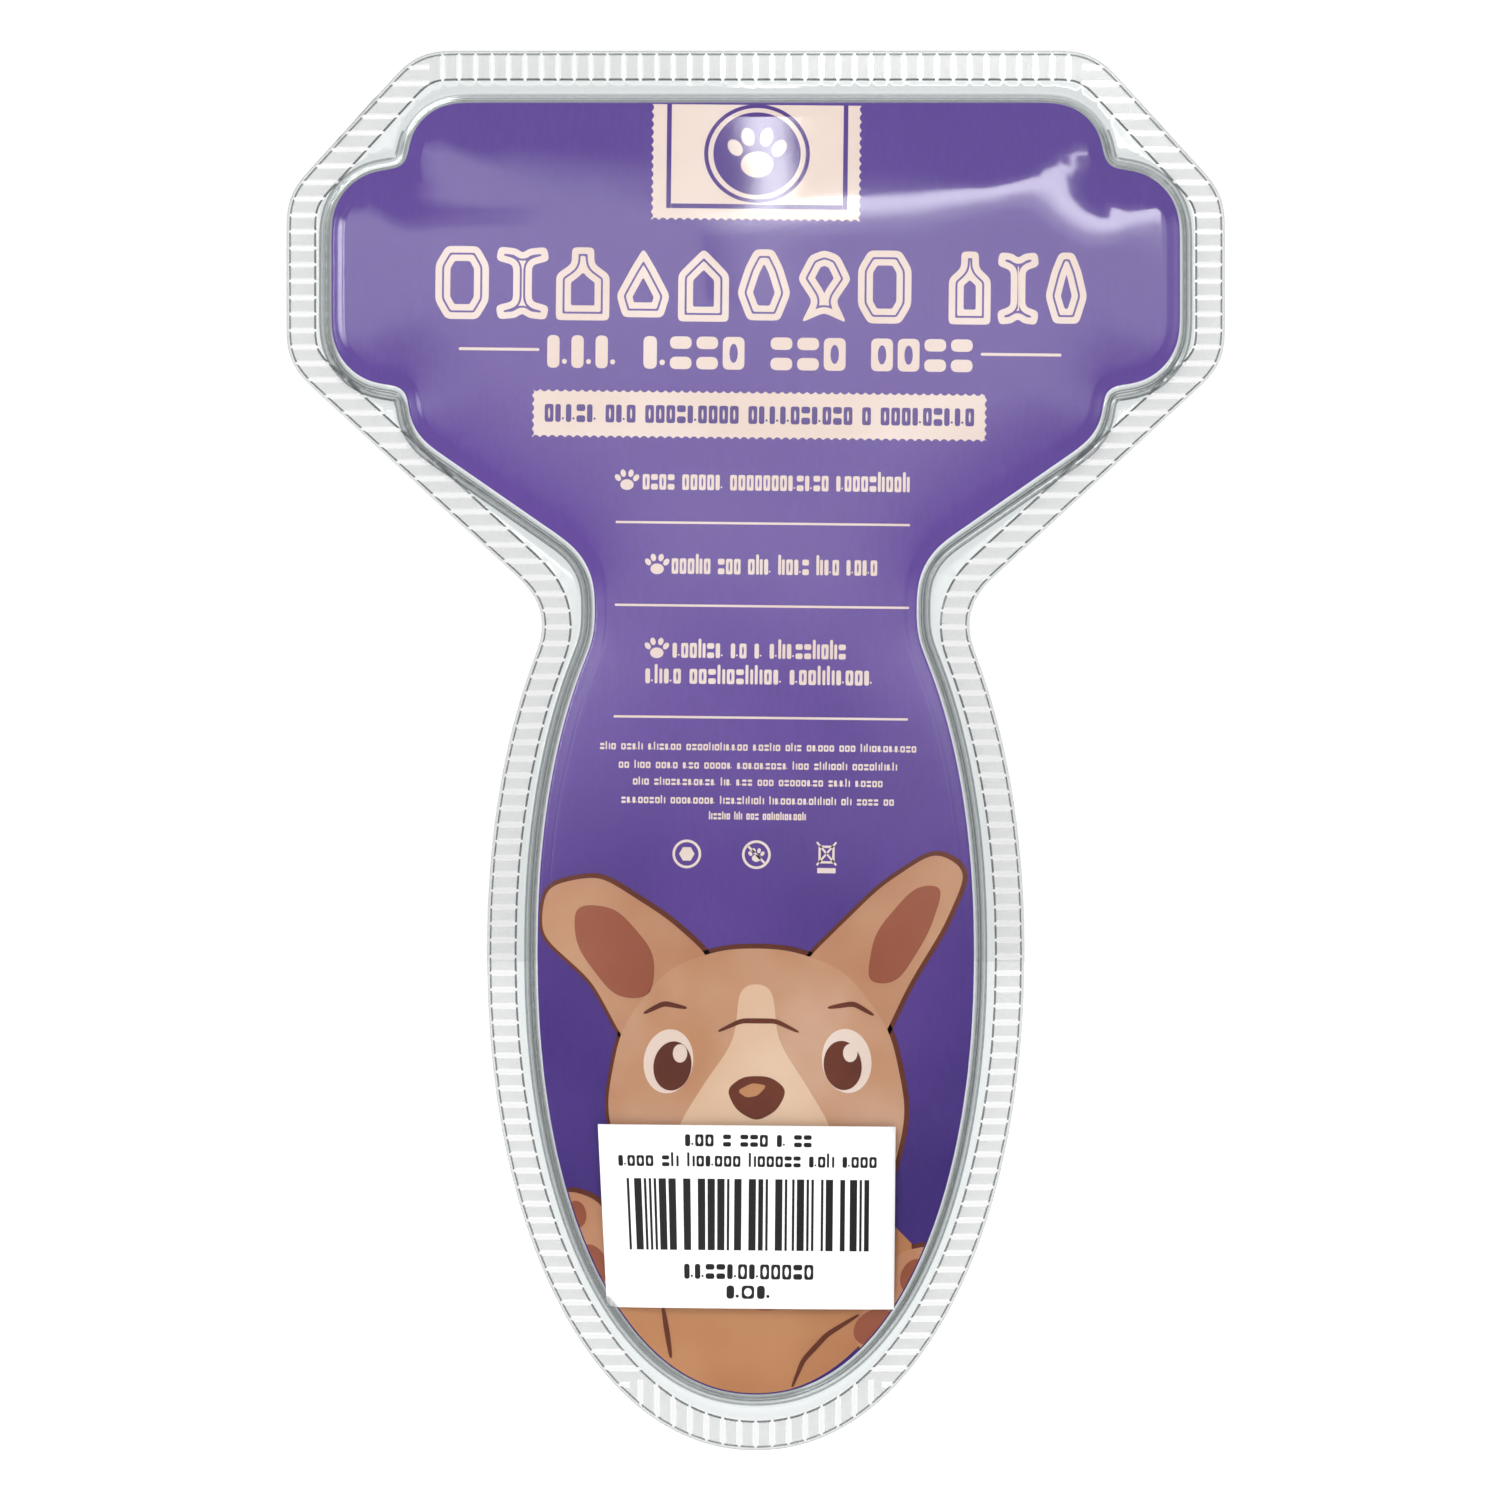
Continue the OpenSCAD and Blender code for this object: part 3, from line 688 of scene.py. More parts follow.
def stamp(x0, x1, z0, z1, pitch=1.45, depth=0.42):
    """A box with a scalloped, stamp-like edge."""
    loop = resample(rounded_box(x0, x1, z0, z1, 0.01, 90), 0.18)
    out = Outline(rounded_box(x0, x1, z0, z1, 0.4), 0.2, 0)
    outward = out.normals[distances(loop, out.points).argmin(1)]
    run = np.where(np.abs(outward[:, 0]) > 0.7, loop[:, 1] - z0, loop[:, 0] - x0)
    return loop - outward * (depth * np.abs(np.sin(math.pi * run / pitch)))[:, None]


def paw(cx, cz, size):
    """A generic paw print: one pad and four toes."""
    pad = ellipse(cx, cz - 0.2 * size, 0.3 * size, 0.24 * size, count=20)
    toes = []
    for a in (-62, -22, 22, 62):
        x = cx + size * math.sin(math.radians(a)) * 0.46
        z = cz - 0.1 * size + size * math.cos(math.radians(a)) * 0.44
        toes.append(ellipse(x, z, 0.12 * size, 0.17 * size, -a * 0.6, 16))
    return [pad] + toes


def bead(kind, x0, x1, z0, z1, pen):
    """A letter-sized mark that stands for print but isn't a letter."""
    wide, high, middle = x1 - x0, z1 - z0, (z0 + z1) / 2
    r = 0.24 * min(wide, high)
    if kind == 0:
        hole_rx, hole_rz = max(0.12 * wide, wide / 2 - pen), max(0.12 * high, high / 2 - pen)
        hole = ellipse((x0 + x1) / 2, middle, hole_rx, hole_rz, count=12)
        return [(rounded_box(x0, x1, z0, z1, r, 30), [hole])]
    if kind == 1:
        return [rounded_box(x0, x0 + pen, z0, z1 + 0.3 * high, pen * 0.4, 45),
                rounded_box(x1 - pen, x1, z0, z1, pen * 0.4, 45)]
    if kind == 2:
        return [rounded_box(x0, x1, middle + 0.12 * high, z1, r, 30),
                rounded_box(x0, x1, z0, middle - 0.12 * high, r, 30)]
    dot = ellipse(x1 - 0.13 * wide, z0 + 0.2 * high, 0.13 * wide, 0.13 * wide, count=10)
    return [rounded_box(x0, x0 + 0.62 * wide, z0, z1, r, 30), dot]


def words(counts, x0, x1, z0, z1, pen, seed, caps=False):
    """A row of word-like groups of beads from x0 to x1; counts gives the beads in each group."""
    draw = random.Random(seed)
    cells = sum(counts) + 0.75 * (len(counts) - 1)
    pitch = (x1 - x0) / cells
    shapes, x = [], x0
    for count in counts:
        for _ in range(count):
            kind = draw.choice((0, 0, 2, 3) if caps else (0, 0, 1, 2, 3))
            shapes += bead(kind, x + 0.09 * pitch, x + 0.91 * pitch, z0, z1, pen)
            x += pitch
        x += 0.75 * pitch
    return shapes


# Emblems of the title row, drawn in a box of half-width 1 and half-height 1
EMBLEMS = {
    "bone": [(-0.35, -0.5), (-1, -0.62), (-0.9, -1), (-0.2, -0.95), (0, -0.8), (0.2, -0.95), (0.9, -1),
             (1, -0.62), (0.35, -0.5), (0.35, 0.5), (1, 0.62), (0.9, 1), (0.2, 0.95), (0, 0.8), (-0.2, 0.95),
             (-0.9, 1), (-1, 0.62), (-0.35, 0.5)],
    "tag": [(-1, -0.2), (-0.6, -0.95), (0.6, -0.95), (1, -0.2), (0.7, 0.5), (0.35, 1), (-0.35, 1),
            (-0.7, 0.5)],
    "bottle": [(-1, -1), (1, -1), (1, 0.25), (0.42, 0.55), (0.42, 1), (-0.42, 1), (-0.42, 0.55), (-1, 0.25)],
    "drop": [(-0.75, -0.9), (0.75, -0.9), (1, -0.3), (0.45, 0.45), (0, 1), (-0.45, 0.45), (-1, -0.3)],
    "kennel": [(-0.95, -1), (0.95, -1), (0.95, 0.3), (0, 1), (-0.95, 0.3)],
    "ball": [(-1, -0.5), (-0.6, -1), (0.6, -1), (1, -0.5), (1, 0.5), (0.6, 1), (-0.6, 1), (-1, 0.5)],
    "fish": [(-0.85, -1), (0, -0.72), (0.85, -1), (0.45, -0.4), (1, 0.2), (0.55, 0.85), (0, 1),
             (-0.55, 0.85), (-1, 0.2), (-0.45, -0.4)],
}


def emblem(kind, x0, x1, z0, z1):
    """An emblem in two cream strokes with a fine line of card between them."""
    scale = np.array([(x1 - x0) / 2, (z1 - z0) / 2])
    middle = np.array([(x0 + x1) / 2, (z0 + z1) / 2])
    shape = Outline(np.array(EMBLEMS[kind]) * scale + middle, 0.2, 0.55)
    rings = [shape.ring(-d, 0.35) for d in (0.0, 1.15, 1.5, 2.6)]
    if len(rings[3]) > 8 and abs(area(rings[3])) > 2:
        return [(rings[0], [rings[1]]), (rings[2], [rings[3]])]
    return [(rings[0], [rings[1]]), rings[2]]


TITLE_Z = (196.9, 209.6)
DISC_X = -0.9
DISC_Z = 226.2


def make_title():
    """The head of the artwork: badge, title row, subtitle and banner."""
    top = CARD.points[:, 1].max() - 0.3
    badge = stamp(-19.3, 17.3, 214.5, top + 3)
    cream = [badge[badge[:, 1] < top]]
    rows = (
        (-56.6, 10.5, 9.3, ("ball", "bone", "bottle", "drop", "kennel", "tag", "fish", "ball")),
        (32.7, 8.4, 7.3, ("bottle", "bone", "tag")),
    )
    for start, pitch, width, kinds in rows:
        for k, kind in enumerate(kinds):
            x = start + k * pitch
            cream += emblem(kind, x, x + width, *TITLE_Z)
    spans = ((-37.4, -24.8, 3), (-20.7, -2.3, 4), (1.4, 15.3, 3), (18.9, 37.4, 4))
    for k, (x0, x1, count) in enumerate(spans):
        cream += words([count], x0, x1, 188.6, 194.3, 1.15, 11 + k, caps=True)
    cream += [rounded_box(x, x + 14, 191.5, 192.0, 0.2) for x in (-52.4, 38.4)]
    cream.append(stamp(-39.6, 39.6, 176.5, 184.9))
    ink("print_title", cream, 1, CREAM)
    violet = words([5, 3, 9, 10, 1, 9], -37.5, 37.5, 179.2, 182.3, 0.62, 21, caps=True)
    frame_bars = ((-16.6, -15.8, 216.6, top), (14.1, 14.9, 216.6, top), (-15.75, 14.05, 216.6, 217.4))
    violet += [rounded_box(*bar, 0.05, 90) for bar in frame_bars]
    violet += [(ellipse(DISC_X, DISC_Z, 7.6, 7.2, count=60), paw(DISC_X, DISC_Z, 9.4))]
    violet += [(ellipse(DISC_X, DISC_Z, 9.2, 8.6, count=60), [ellipse(DISC_X, DISC_Z, 8.5, 7.95, count=60)])]
    ink("print_title_violet", violet, 2, VIOLET)


def make_symbols():
    """Three small symbols: a dot in a ring, a paw in a crossed ring and a crossed bin."""
    shapes = [(ellipse(cx, 104.3, 2.5, 2.5), [ellipse(cx, 104.3, 2.05, 2.05)]) for cx in (-11.8, 0.3)]
    shapes += [ellipse(-11.8, 104.3, 1.35, 1.35, count=6), stroke([(-1.2, 105.8), (1.8, 102.8)], 0.4, 0.2, 1)]
    shapes += paw(0.3, 104.2, 2.6)
    for x0, x1 in ((10.8, 14.2), (14.2, 10.8)):
        shapes.append(stroke([(x0, 106.6), (x1, 102.6)], 0.35, 0.2, 1))
    shapes.append((rounded_box(11.1, 13.9, 102.9, 106, 0.3), [rounded_box(11.5, 13.5, 103.3, 105.6, 0.2)]))
    shapes.append(rounded_box(10.9, 14.1, 101.2, 102.1, 0.1))
    return shapes


# The claims: (x from, x to, z from, z to, marks in each word)
CLAIMS = (
    (-20.3, 26.4, 167.6, 170.3, [4, 5, 12, 9]), (-15.1, 20.9, 153.0, 155.7, [5, 3, 3, 4, 3, 4]),
    (-14.8, 15.6, 138.4, 141.0, [6, 2, 1, 9]), (-19.5, 20.2, 133.9, 136.5, [4, 10, 9]),
)
# The fine print: (z, half-width, marks in each word)
FINE_PRINT = (
    (122.9, 27.6, [3, 4, 6, 11, 5, 3, 5, 3, 10]), (119.7, 24.3, [2, 3, 4, 3, 5, 9, 3, 6, 8]),
    (116.8, 21.8, [3, 11, 2, 3, 3, 8, 4, 5]), (113.6, 23.8, [8, 8, 8, 12, 2, 4, 2]),
    (110.9, 8.5, [5, 2, 3, 10]),
)


def make_lines():
    """The middle of the artwork: the claims with rules between them, fine print and three symbols."""
    cream = []
    for k, (x0, x1, z0, z1, counts) in enumerate(CLAIMS):
        cream += words(counts, x0, x1, z0, z1, 0.5, 31 + k)
    for cx, cz in ((-22.9, 169.2), (-17.5, 154.6), (-17.4, 140)):
        cream += paw(cx, cz, 3.9)
    cream += [rounded_box(-24.8, 26.4, z - 0.2, z + 0.2, 0.15) for z in (161.9, 147.5, 128.1)]
    for k, (z, half, counts) in enumerate(FINE_PRINT):
        cream += words(counts, -half + 0.4, half + 0.4, z - 0.55, z + 0.55, 0.24, 41 + k)
    ink("print_lines", cream + make_symbols(), 1, CREAM)


def make_puppy():
    """A generic puppy's head looking over the label, with its paws and chest below."""
    ear_l = blob([(-21.5, 70), (-28, 82), (-37.2, 90), (-36.4, 98.5), (-27, 100.5), (-15, 93), (-7, 86),
                  (-12, 74)], 2.2)
    ear_r = blob([(21.5, 70), (27, 82), (33, 92), (37.2, 102), (31.5, 105.4), (22, 99), (13, 90), (8, 85),
                  (12, 74)], 2.2)
    head = blob([(-22, 48), (-25.5, 60), (-23, 74), (-15, 84.5), (-5, 88), (6, 88), (16, 84.5), (24, 74),
                 (27, 60), (24.5, 48), (16, 40), (-14, 40)], 3.0)
    foot = CARD.points[CARD.points[:, 1] < 33]
    chest = np.vstack([foot[foot[:, 0].argsort()][::2], [(28, 37), (20, 45), (-20, 45), (-27, 38)]])
    paw_l = blob([(-39, 27), (-39, 41), (-32, 46), (-25.5, 43.5), (-24, 34), (-26, 23)], 2.0)
    paw_r = blob([(36, 19), (37.5, 30), (32.5, 37), (25.5, 35.5), (20, 26), (17.5, 20), (27, 12)], 2.0)
    fur = [ear_l, ear_r, head, paw_l, paw_r]
    lines = [Outline(loop, 0.3, 0.3).ring(0.75, 0.5) + (0.15, 0.1) for loop in fur]
    ink("print_puppy_line", lines, 1, BROWN)
    ink("print_puppy_back", [chest], 2, CARAMEL)
    ink("print_puppy_ear_fur", [ear_l, ear_r], 2, FAWN)
    ear_in_l = blob([(-24, 79), (-31, 88), (-31.5, 95.5), (-24, 95), (-17, 87), (-17.5, 79)], 2.2)
    ear_in_r = blob([(25, 82), (30.5, 91), (33.2, 99.5), (28, 99.3), (21, 91), (19.5, 82)], 2.0)
    ink("print_puppy_ears", [ear_in_l, ear_in_r], 3, ROSE)
    ink("print_puppy_head", [head], 3, TAN)
    ink("print_puppy_paws", [paw_l, paw_r], 3, FAWN)
    muzzle = blob([(-11, 44), (-13.5, 56), (-8, 65), (-3, 72), (-2.5, 82), (3.5, 82), (4.2, 72), (9, 65),
                   (14.5, 56), (12, 44)], 2.4)
    cheeks = [ellipse(18, 47, 5.5, 5) * (side, 1) + (0.6, 0.0) for side in (1, -1)]
    ink("print_puppy_muzzle", [muzzle] + cheeks, 4, SAND)
    pads = [ellipse(-30.3, 41.4, 1.7, 2.4, 8), ellipse(-27.3, 32.8, 2.4, 3.6, 25),
            ellipse(28.6, 31.2, 2.4, 3.2, -20), ellipse(21.8, 22.3, 3.9, 3.0, 30),
            ellipse(2.8, 28.0, 4.2, 3.0)]
    ink("print_puppy_pads", pads, 4, ROSE)
    whites = [ellipse(-14.6, 68.2, 4.3, 5.6, -8), ellipse(16.4, 68.6, 4.3, 5.6, 8)]
    ink("print_puppy_eyes", whites, 4, CREAM)
    iris = [ellipse(-13.9, 67.4, 3.3, 4.3, -8), ellipse(15.7, 67.8, 3.3, 4.3, 8)]
    nose = blob([(-4.6, 63.5), (-1.5, 65.8), (3.2, 65.8), (6.2, 63.5), (4.4, 59.8), (0.8, 57.8),
                 (-2.8, 59.8)], 1.1)
    folds = [stroke(line, 0.9) for line in (
        [(-6, 73.5), (-2, 75.4), (4, 75.4), (8, 73.5)], [(-19, 76.5), (-15.5, 78.3), (-11.5, 77.5)],
        [(13, 77.8), (17.5, 78.6), (21, 76.6)], [(-15.2, 26), (-14.4, 21.5), (-13.6, 16.6)],
        [(19, 24.5), (13.5, 21), (9.4, 16.5), (7.5, 11.8)],
    )]
    mouth = stroke([(-9, 52), (-4, 50), (0.6, 54), (5.5, 50), (10.5, 52)], 0.8)
    ink("print_puppy_dark", iris + [nose] + folds + [mouth], 5, BROWN)
    glints = [ellipse(-12.6, 69.6, 1.25, 1.6), ellipse(17.0, 70.0, 1.25, 1.6)]
    ink("print_puppy_glints", glints, 6, CREAM)
    shine = blob([(-2.6, 63.2), (0, 64.6), (2.6, 64.2), (1, 62.4), (-1, 62)], 0.4)
    ink("print_puppy_shine", [shine], 6, CARAMEL)


def make_card():
    points, faces = prisms([CARD.ring(0.0, 0.8)], CARD_FACE, CARD_BACK)
    board = piece("card_board", points, faces, [card_material()], "root", smooth=False)
    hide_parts("card_insert")
    make_title()
    make_lines()
    make_puppy()


# ---- the label

LABEL_PAPER = solid("label_paper", (250, 250, 250), (244, 244, 245), roughness=0.6, grain=1500,
                    bump=0.006)
LABEL_INK = solid("label_ink", (34, 30, 34), (24, 22, 26), roughness=0.6, grain=1500, bump=0.003)

LABEL_MIDDLE = np.mean(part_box("barcode_label"), 0)[[0, 2]] / MM - (0, TIP)
LABEL_HALF_W = 25.4
LABEL_HALF_H = 15.9
LABEL_TURN = -0.5
LABEL_LEAN = 0.058  # the sheet's left side leans in towards its foot, where it bends over the panel's edge
LABEL_COLUMNS = 26
LABEL_ROWS = 17
LABEL_GAP = 0.05
LABEL_T = 0.1
LABEL_INK_LIFT = 0.155
BAR_WIDTHS = (0.42, 0.42, 0.84, 1.25)


def on_label(loop):
    """A loop drawn round the label's middle where it lands on the pack."""
    x, z = np.array(loop).T
    lean = LABEL_LEAN * z * smoothstep(-x / LABEL_HALF_W)
    return turned(np.column_stack([x - lean, z]), LABEL_TURN) + LABEL_MIDDLE


def make_paper():
    """The label's sheet, which follows the panel."""
    columns, rows = LABEL_COLUMNS, LABEL_ROWS
    xs, zs = np.meshgrid(np.linspace(-LABEL_HALF_W, LABEL_HALF_W, columns),
                         np.linspace(-LABEL_HALF_H, LABEL_HALF_H, rows))
    places = on_label(np.column_stack([xs.ravel(), zs.ravel()]))
    y = panel_y(places) - LABEL_GAP
    count = len(places)
    points = np.vstack([np.insert(places, 1, y - LABEL_T, axis=1), np.insert(places, 1, y, axis=1)])
    faces = []
    for j in range(rows - 1):
        for i in range(columns - 1):
            a = j * columns + i
            quad = (a, a + 1, a + columns + 1, a + columns)
            faces += [quad, tuple(count + k for k in quad[::-1])]
    edge = list(range(columns)) + [j * columns + columns - 1 for j in range(1, rows)]
    edge += [(rows - 1) * columns + i for i in range(columns - 2, -1, -1)]
    edge += [j * columns for j in range(rows - 2, 0, -1)]
    faces += [(a, a + count, b + count, b) for a, b in zip(edge, edge[1:] + edge[:1])]
    paper = piece("label_sticker", points, faces, [LABEL_PAPER], "root")
    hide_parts("barcode_label")


def make_label_print():
    """Bars of random widths, and rows of marks that stand for the label's print."""
    draw = random.Random(8)
    marks, x = [], -20.9
    while x < 21.4:
        width = draw.choice(BAR_WIDTHS)
        marks.append(rounded_box(x, x + width, -5.8, 6.6, 0.02, 90))
        x += width + draw.choice(BAR_WIDTHS)
    marks += words([3, 1, 3, 1, 2], -11, 11, 12.2, 14.3, 0.42, 61, caps=True)
    marks += words([4, 2, 6, 6, 3, 4], -22.3, 22.3, 8.7, 10.6, 0.38, 62)
    marks += words([12], -11.5, 11.5, -10.8, -8.2, 0.42, 63, caps=True)
    marks += words([3], -4, 4, -14.2, -11.9, 0.42, 64, caps=True)
    points, faces = prisms(laid(marks, on_label), -INK_T, 0)
    points = np.array(points)
    points[:, 1] += panel_y(points[:, [0, 2]]) - LABEL_INK_LIFT
    piece("label_print", points, faces, [LABEL_INK], "root", smooth=False)


DARK = solid("dark_plastic", (44, 40, 50), (36, 33, 42), roughness=0.38, grain=1400, bump=0.003)
ACCENT = solid("accent_plastic", (116, 78, 178), (104, 68, 166), roughness=0.3, grain=1400, bump=0.01)
GEL = solid("gel_grip", (132, 92, 196), (112, 74, 178), roughness=0.24, grain=500, bump=0.03,
            **{"Coat Weight": 0.4})
SOFT = solid("soft_grip", (110, 74, 170), (96, 62, 156), roughness=0.55, grain=1100, bump=0.03)
STEEL = solid("steel", (196, 196, 202), (182, 182, 190), roughness=0.26, grain=2600, bump=0.0004,
              stretch=(0.06, 1, 1), Metallic=1.0)
CHROME = solid("chromed_steel", (214, 214, 218), (200, 200, 206), roughness=0.12, grain=500,
               bump=0.002, Metallic=1.0)
SCREW = solid("screw_steel", (140, 140, 146), (120, 120, 126), roughness=0.34, grain=1200, bump=0.004,
              Metallic=1.0)

KEPT = {
    "rake_core": (DARK, 0.5), "rake_collar": (CHROME, 0.4), "rake_end_cap": (DARK, 0.3),
    "rake_head_front": (DARK, 0.3), "rake_head_back": (ACCENT, 0.3), "rake_coarse_teeth": (CHROME, 0.12),
    "rake_fine_teeth": (CHROME, 0.12), "rake_rods": (CHROME, 0), "rake_screws": (SCREW, 0.1),
    "comb_spine": (CHROME, 0.3), "comb_coarse_teeth": (CHROME, 0), "comb_fine_teeth": (CHROME, 0),
    "comb_end_bars": (CHROME, 0.3), "clipper_fixed_blade": (STEEL, 0), "clipper_moving_blade": (STEEL, 0),
    "clipper_pivot": (SCREW, 0.3), "clipper_guard": (STEEL, 0.1), "clipper_guard_screw": (SCREW, 0.2),
    "clipper_lock": (CHROME, 0.15), "clipper_lock_screw": (SCREW, 0.2),
}

# Gel grip: finger swells along it, and a patch of fine ribs on its front near the head
GRIP_STEP = 0.75
RIBS_Z = 150.0
RIBS_HALF = 11.0
RIBS_PITCH = 3.0
RIBS_DEEP = 0.35
GRIP_LOW = 50.0
GRIP_HIGH = 182.0
GRIP_R = 13.4
GRIP_IN = 0.1
GRIP_SIDES = 96
GRIP_SWELL = 1.1
SWELL_PITCH = 33.0
RAKE_Y = 23.0


def dress(node, material, bevel):
    """Gives a CAD node its material, and rounds its sharp edges."""
    obj = NODES[node]
    mesh = obj.data
    mesh.materials.clear()
    mesh.materials.append(material)
    if "custom_normal" in mesh.attributes:
        mesh.attributes.remove(mesh.attributes["custom_normal"])
    mesh.polygons.foreach_set("use_smooth", np.full(len(mesh.polygons), True))
    weld = obj.modifiers.new("join", "WELD")
    weld.merge_threshold = 0.01 * MM
    if bevel:
        edge = obj.modifiers.new("round", "BEVEL")
        edge.width, edge.segments, edge.limit_method = bevel * MM, 3, "ANGLE"
        edge.angle_limit = math.radians(40)
        edge.use_clamp_overlap = True
    split = obj.modifiers.new("creases", "EDGE_SPLIT")
    split.split_angle = math.radians(35)


def make_grip():
    """The rake's gel grip."""
    angles = np.linspace(0, 2 * math.pi, GRIP_SIDES, endpoint=False)
    front = np.maximum(np.cos(angles - math.pi / 2), 0) ** 0.5
    rings = []
    for z in np.arange(GRIP_LOW, GRIP_HIGH + 0.01, GRIP_STEP):
        along = z - GRIP_LOW
        share = 2 * along / (GRIP_HIGH - GRIP_LOW) - 1
        ends = 0.8 + 0.2 * max(0.0, 1 - abs(share) ** 16) ** 0.5
        waist = GRIP_SWELL * (1 - math.cos(2 * math.pi * (along / SWELL_PITCH - 0.5)))
        patch = math.exp(-((z - RIBS_Z) / RIBS_HALF) ** 6)
        rib = patch * (0.5 - 0.5 * math.cos(2 * math.pi * z / RIBS_PITCH))
        r = (GRIP_R - waist) * ends - GRIP_IN - RIBS_DEEP * rib * front
        ring = np.column_stack([r * np.cos(angles), RAKE_Y + r * np.sin(angles)])
        rings.append(np.insert(ring, 2, z, axis=1))
    grip = piece("rake_gel_grip", *stack(rings), [GEL], "rake")
    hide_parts("rake_grip")


# Profile of a cushioned handle: (distance outside its outline, rise)
CUSHION = (
    (-2.4, 0.0), (-1.2, 0.3), (-0.45, 1.0), (0.0, 2.4), (0.0, 6.6), (-0.45, 8.0), (-1.2, 8.7), (-2.4, 9.0)
)


def make_handle(name, node, body):
    """A cushioned handle in the outline of its CAD node."""
    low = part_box(node)[0].y / MM
    shape = Outline(plane_loops(node, low)[0], 0.5, 1.0)
    rings = [np.insert(shape.points + shape.normals * offset, 1, low + rise, axis=1)
             for offset, rise in CUSHION]
    points, faces = stack(rings)
    outward = [(face[0], *face[:0:-1]) for face in faces]  # rings stacked along y give faces that look inward
    obj = piece(name, points, outward, [SOFT], body)
    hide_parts(node)


STUD_H = 1.7


def make_stud():
    """The stud on the moving handle that the catch holds."""
    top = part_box("clipper_moving_grip")[1].y / MM
    points, faces = prisms([plane_loops("clipper_moving_grip", top)[0]], top - STUD_H, top)
    piece("clipper_catch_stud", points, faces, [SOFT], "clipper_lever", smooth=False)


SPRING_T = 0.8


def make_spring():
    """The V spring, which bends between the two levers."""
    low, high = (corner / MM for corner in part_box("clipper_spring"))
    middle = (low.x + high.x) / 2
    top, foot = high.z - TIP, low.z - TIP
    half = (high.x - low.x) / 2
    leg = [(half - SPRING_T / 2, foot), (half * 0.5, (top + foot) / 2), (1.2, top - 1.2)]
    line = [(-x, z) for x, z in leg] + [(0, top - SPRING_T / 2)] + leg[::-1]
    band = stroke([(middle + x, z) for x, z in line], SPRING_T, 0.3, 1)
    points, faces = prisms([band], low.y, high.y)
    obj = piece("clipper_leaf_spring", points, faces, [CHROME], None)
    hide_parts("clipper_spring")
    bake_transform(obj)


def make_kit():
    for node, (material, bevel) in KEPT.items():
        dress(node, material, bevel)
    make_grip()
    make_handle("clipper_cushion_fixed", "clipper_fixed_grip", "clipper")
    make_handle("clipper_cushion_moving", "clipper_moving_grip", "clipper_lever")
    make_stud()
    make_spring()


# ---- camera, lights and stage

CAMERA_X = -1.0
CAMERA_Z = 122.5
CAMERA_AWAY = 868.8


def make_camera():
    data = bpy.data.cameras.new("camera")
    data.lens, data.sensor_width = 120, 36
    camera = placed("camera", data)
    camera.location = Vector((CAMERA_X, PANEL_Y - CAMERA_AWAY, CAMERA_Z + TIP)) * MM
    camera.rotation_euler = (math.radians(90), 0, 0)
    bpy.context.scene.camera = camera


def aimed(name, data, centre, direction, axis):
    """A new object at centre whose axis points along a direction."""
    obj = placed(name, data)
    obj.location = centre
    obj.rotation_mode = "QUATERNION"
    obj.rotation_quaternion = Vector(direction).to_track_quat(axis, "Y")
    return obj


def plane(name, centre, facing, width, height, material):
    """A flat stage piece that faces a direction, in metres."""
    mesh = bpy.data.meshes.new(name)
    w, h = width / 2, height / 2
    mesh.from_pydata([(-w, -h, 0), (w, -h, 0), (w, h, 0), (-w, h, 0)], [], [(0, 1, 2, 3)])
    mesh.materials.append(material)
    obj = aimed(name, mesh, centre, facing, "Z")
    return obj


def mirror_card(name, centre, facing, width, height, material):
    """A card that shows only in reflections."""
    obj = plane(name, centre, facing, width, height, material)
    for ray in ("camera", "diffuse", "transmission", "shadow", "volume_scatter"):
        setattr(obj, "visible_" + ray, False)


def area_light(name, centre, target, size, power):
    data = bpy.data.lights.new(name, "AREA")
    data.shape, data.size, data.energy = "SQUARE", size, power
    obj = aimed(name, data, centre, Vector(target) - Vector(centre), "-Z")
    obj.visible_camera = False
    obj.visible_glossy = False


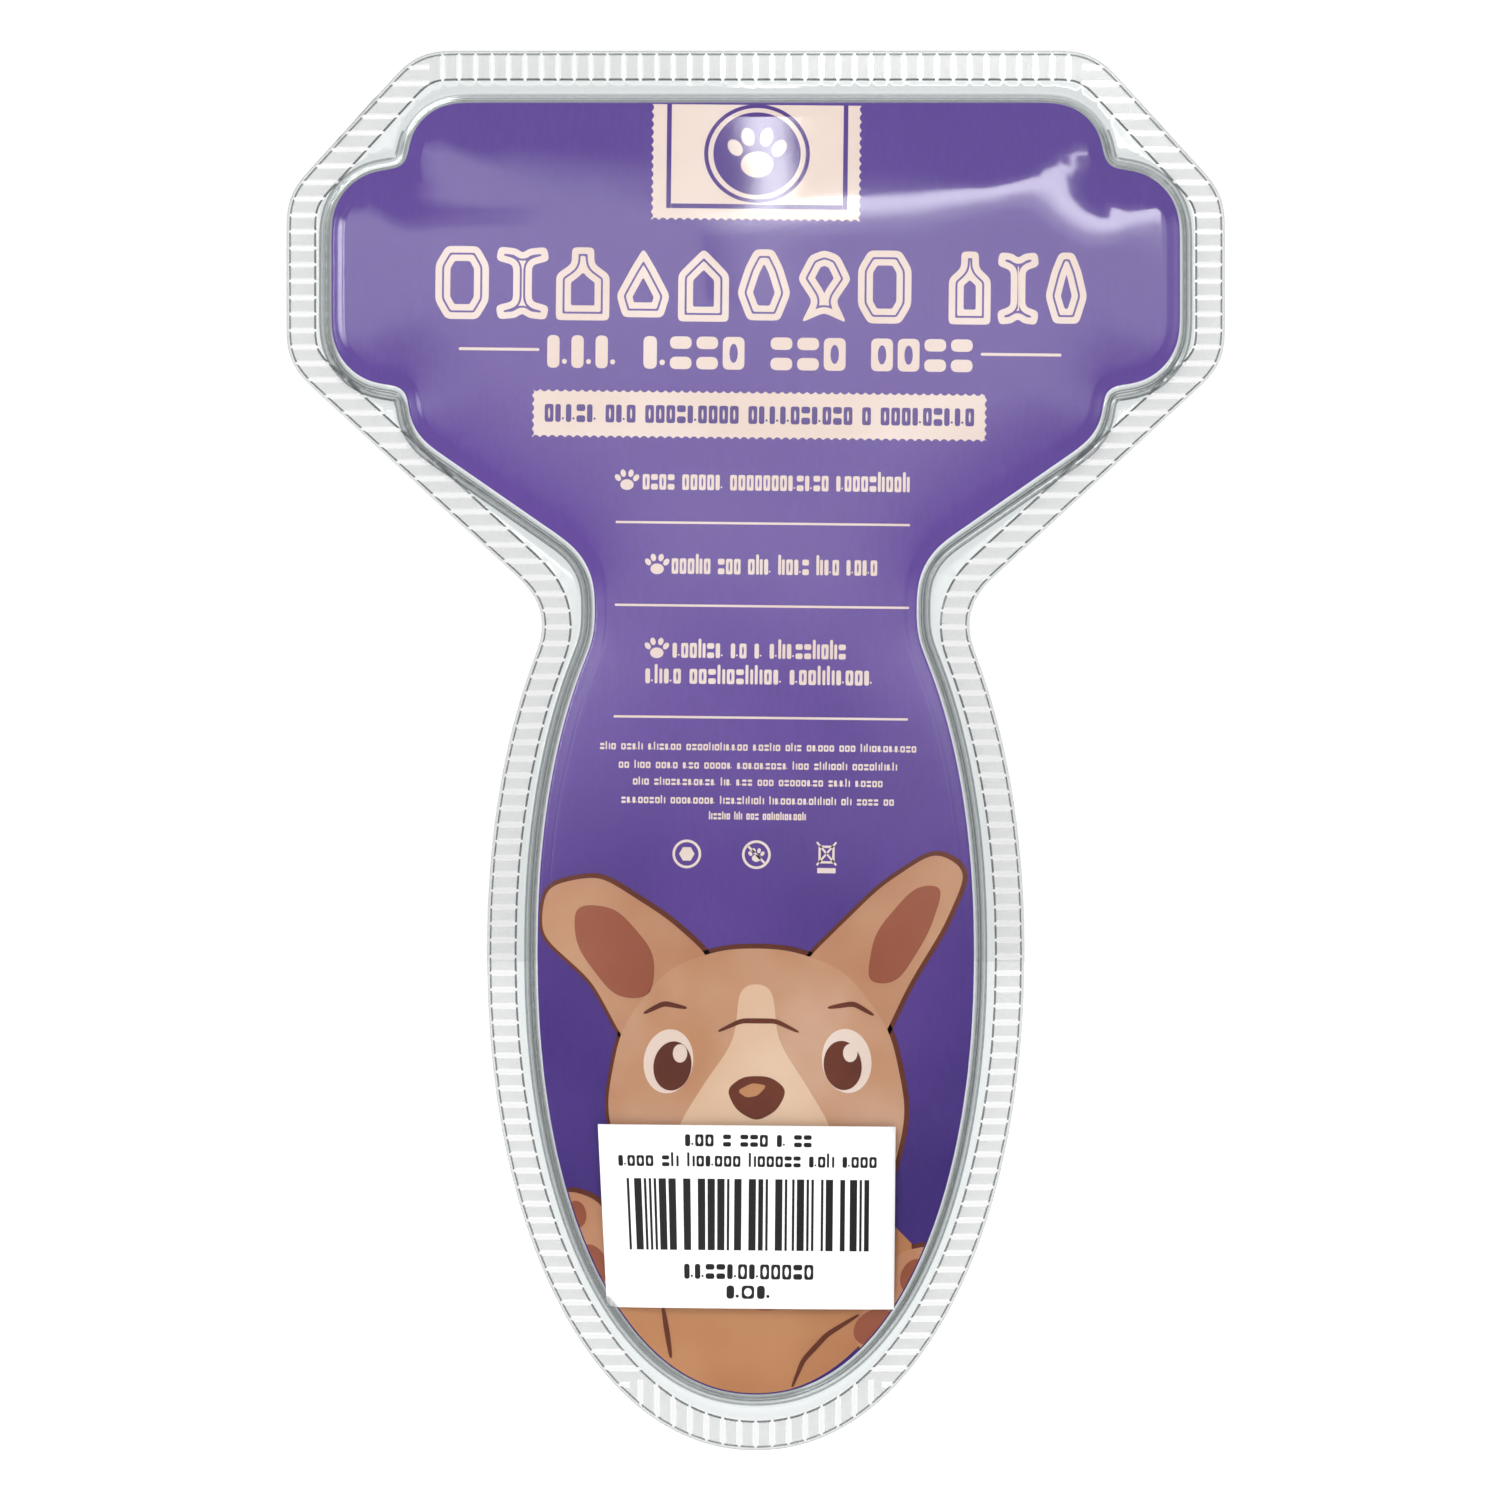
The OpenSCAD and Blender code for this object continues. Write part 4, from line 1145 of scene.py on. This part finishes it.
def make_stage():
    scene = bpy.context.scene
    scene.view_settings.view_transform = "Standard"
    scene.cycles.transparent_max_bounces = 32
    world = bpy.data.worlds.new("studio")
    world.use_nodes = True
    tree = world.node_tree
    background = tree.nodes["Background"]
    path = tree.nodes.new("ShaderNodeLightPath")
    level = tree.nodes.new("ShaderNodeMapRange")
    level.inputs["To Min"].default_value = 0.78
    level.inputs["To Max"].default_value = 1.02
    tree.links.new(path.outputs["Is Camera Ray"], level.inputs["Value"])
    tree.links.new(level.outputs[0], background.inputs["Strength"])
    background.inputs["Color"].default_value = WHITE
    scene.world = world

    paint = Paint("floor")
    white = paint.add("BsdfDiffuse", {"Color": (0.9, 0.9, 0.9, 1)}).outputs[0]
    lift = paint.add("Emission", {"Color": WHITE, "Strength": 0.5}).outputs[0]
    floor = paint.done(paint.add("AddShader", {0: white, 1: lift}).outputs[0])
    plane("floor", (0, 0, TIP * MM - 0.55), (0, 0, 1), 30, 30, floor).visible_glossy = False

    middle = Vector((0, 0, (TIP + 122) * MM))
    area_light("key", (-0.9, -1.3, 0.7), middle, 1.0, 14)
    area_light("fill_front", (0.8, 1.3, 0.6), middle, 1.0, 16)

    back = glow("card_back", [(0.40, 0.01), (0.47, 0.03), (0.5, 0.32), (0.55, 1.1), (0.59, 1.4),
                              (0.605, 1.35), (0.628, 0.05), (1.0, 0.05)],
                [(0.0, 0.3), (0.25, 0.3), (0.29, 0.9), (0.72, 1.0), (0.735, 0.1), (0.745, 4.0), (0.77, 4.0),
                 (0.78, 0.1)])
    mirror_card("reflect_back", (0, -2.2, middle.z), (0, 1, 0), 4.0, 4.0, back)
    band = glow("card_band", [(0.0, 1.3), (0.35, 2.4), (0.7, 6.0), (1.0, 6.0)],
                [(0.0, 1.0), (0.85, 1.0), (1.0, 0.22)])
    mirror_card("reflect_band", (0.26, -2.19, middle.z + 0.38), (0, 1, 0), 0.62, 0.16, band)
    streak = glow("card_streak", [(0.0, 9.0), (1.0, 9.0)], [(0.0, 0.3), (0.3, 1.0), (0.7, 1.0), (1.0, 0.3)])
    mirror_card("reflect_streak", (0.008, -2.18, middle.z + 0.57), (0, 1, 0), 0.036, 0.26, streak)
    front = glow("card_front", [(0.0, 0.5), (0.35, 0.7), (0.6, 1.2), (0.62, 3.5), (1.0, 3.5)],
                 [(0.0, 1.0), (0.4, 1.0), (0.41, 0.3), (1.0, 0.3)])
    mirror_card("reflect_front", (0, 2.4, middle.z + 0.4), (0, -1, 0), 3.4, 3.4, front)


make_camera()
make_shells()
make_card()
make_paper()
make_label_print()
make_kit()
make_stage()
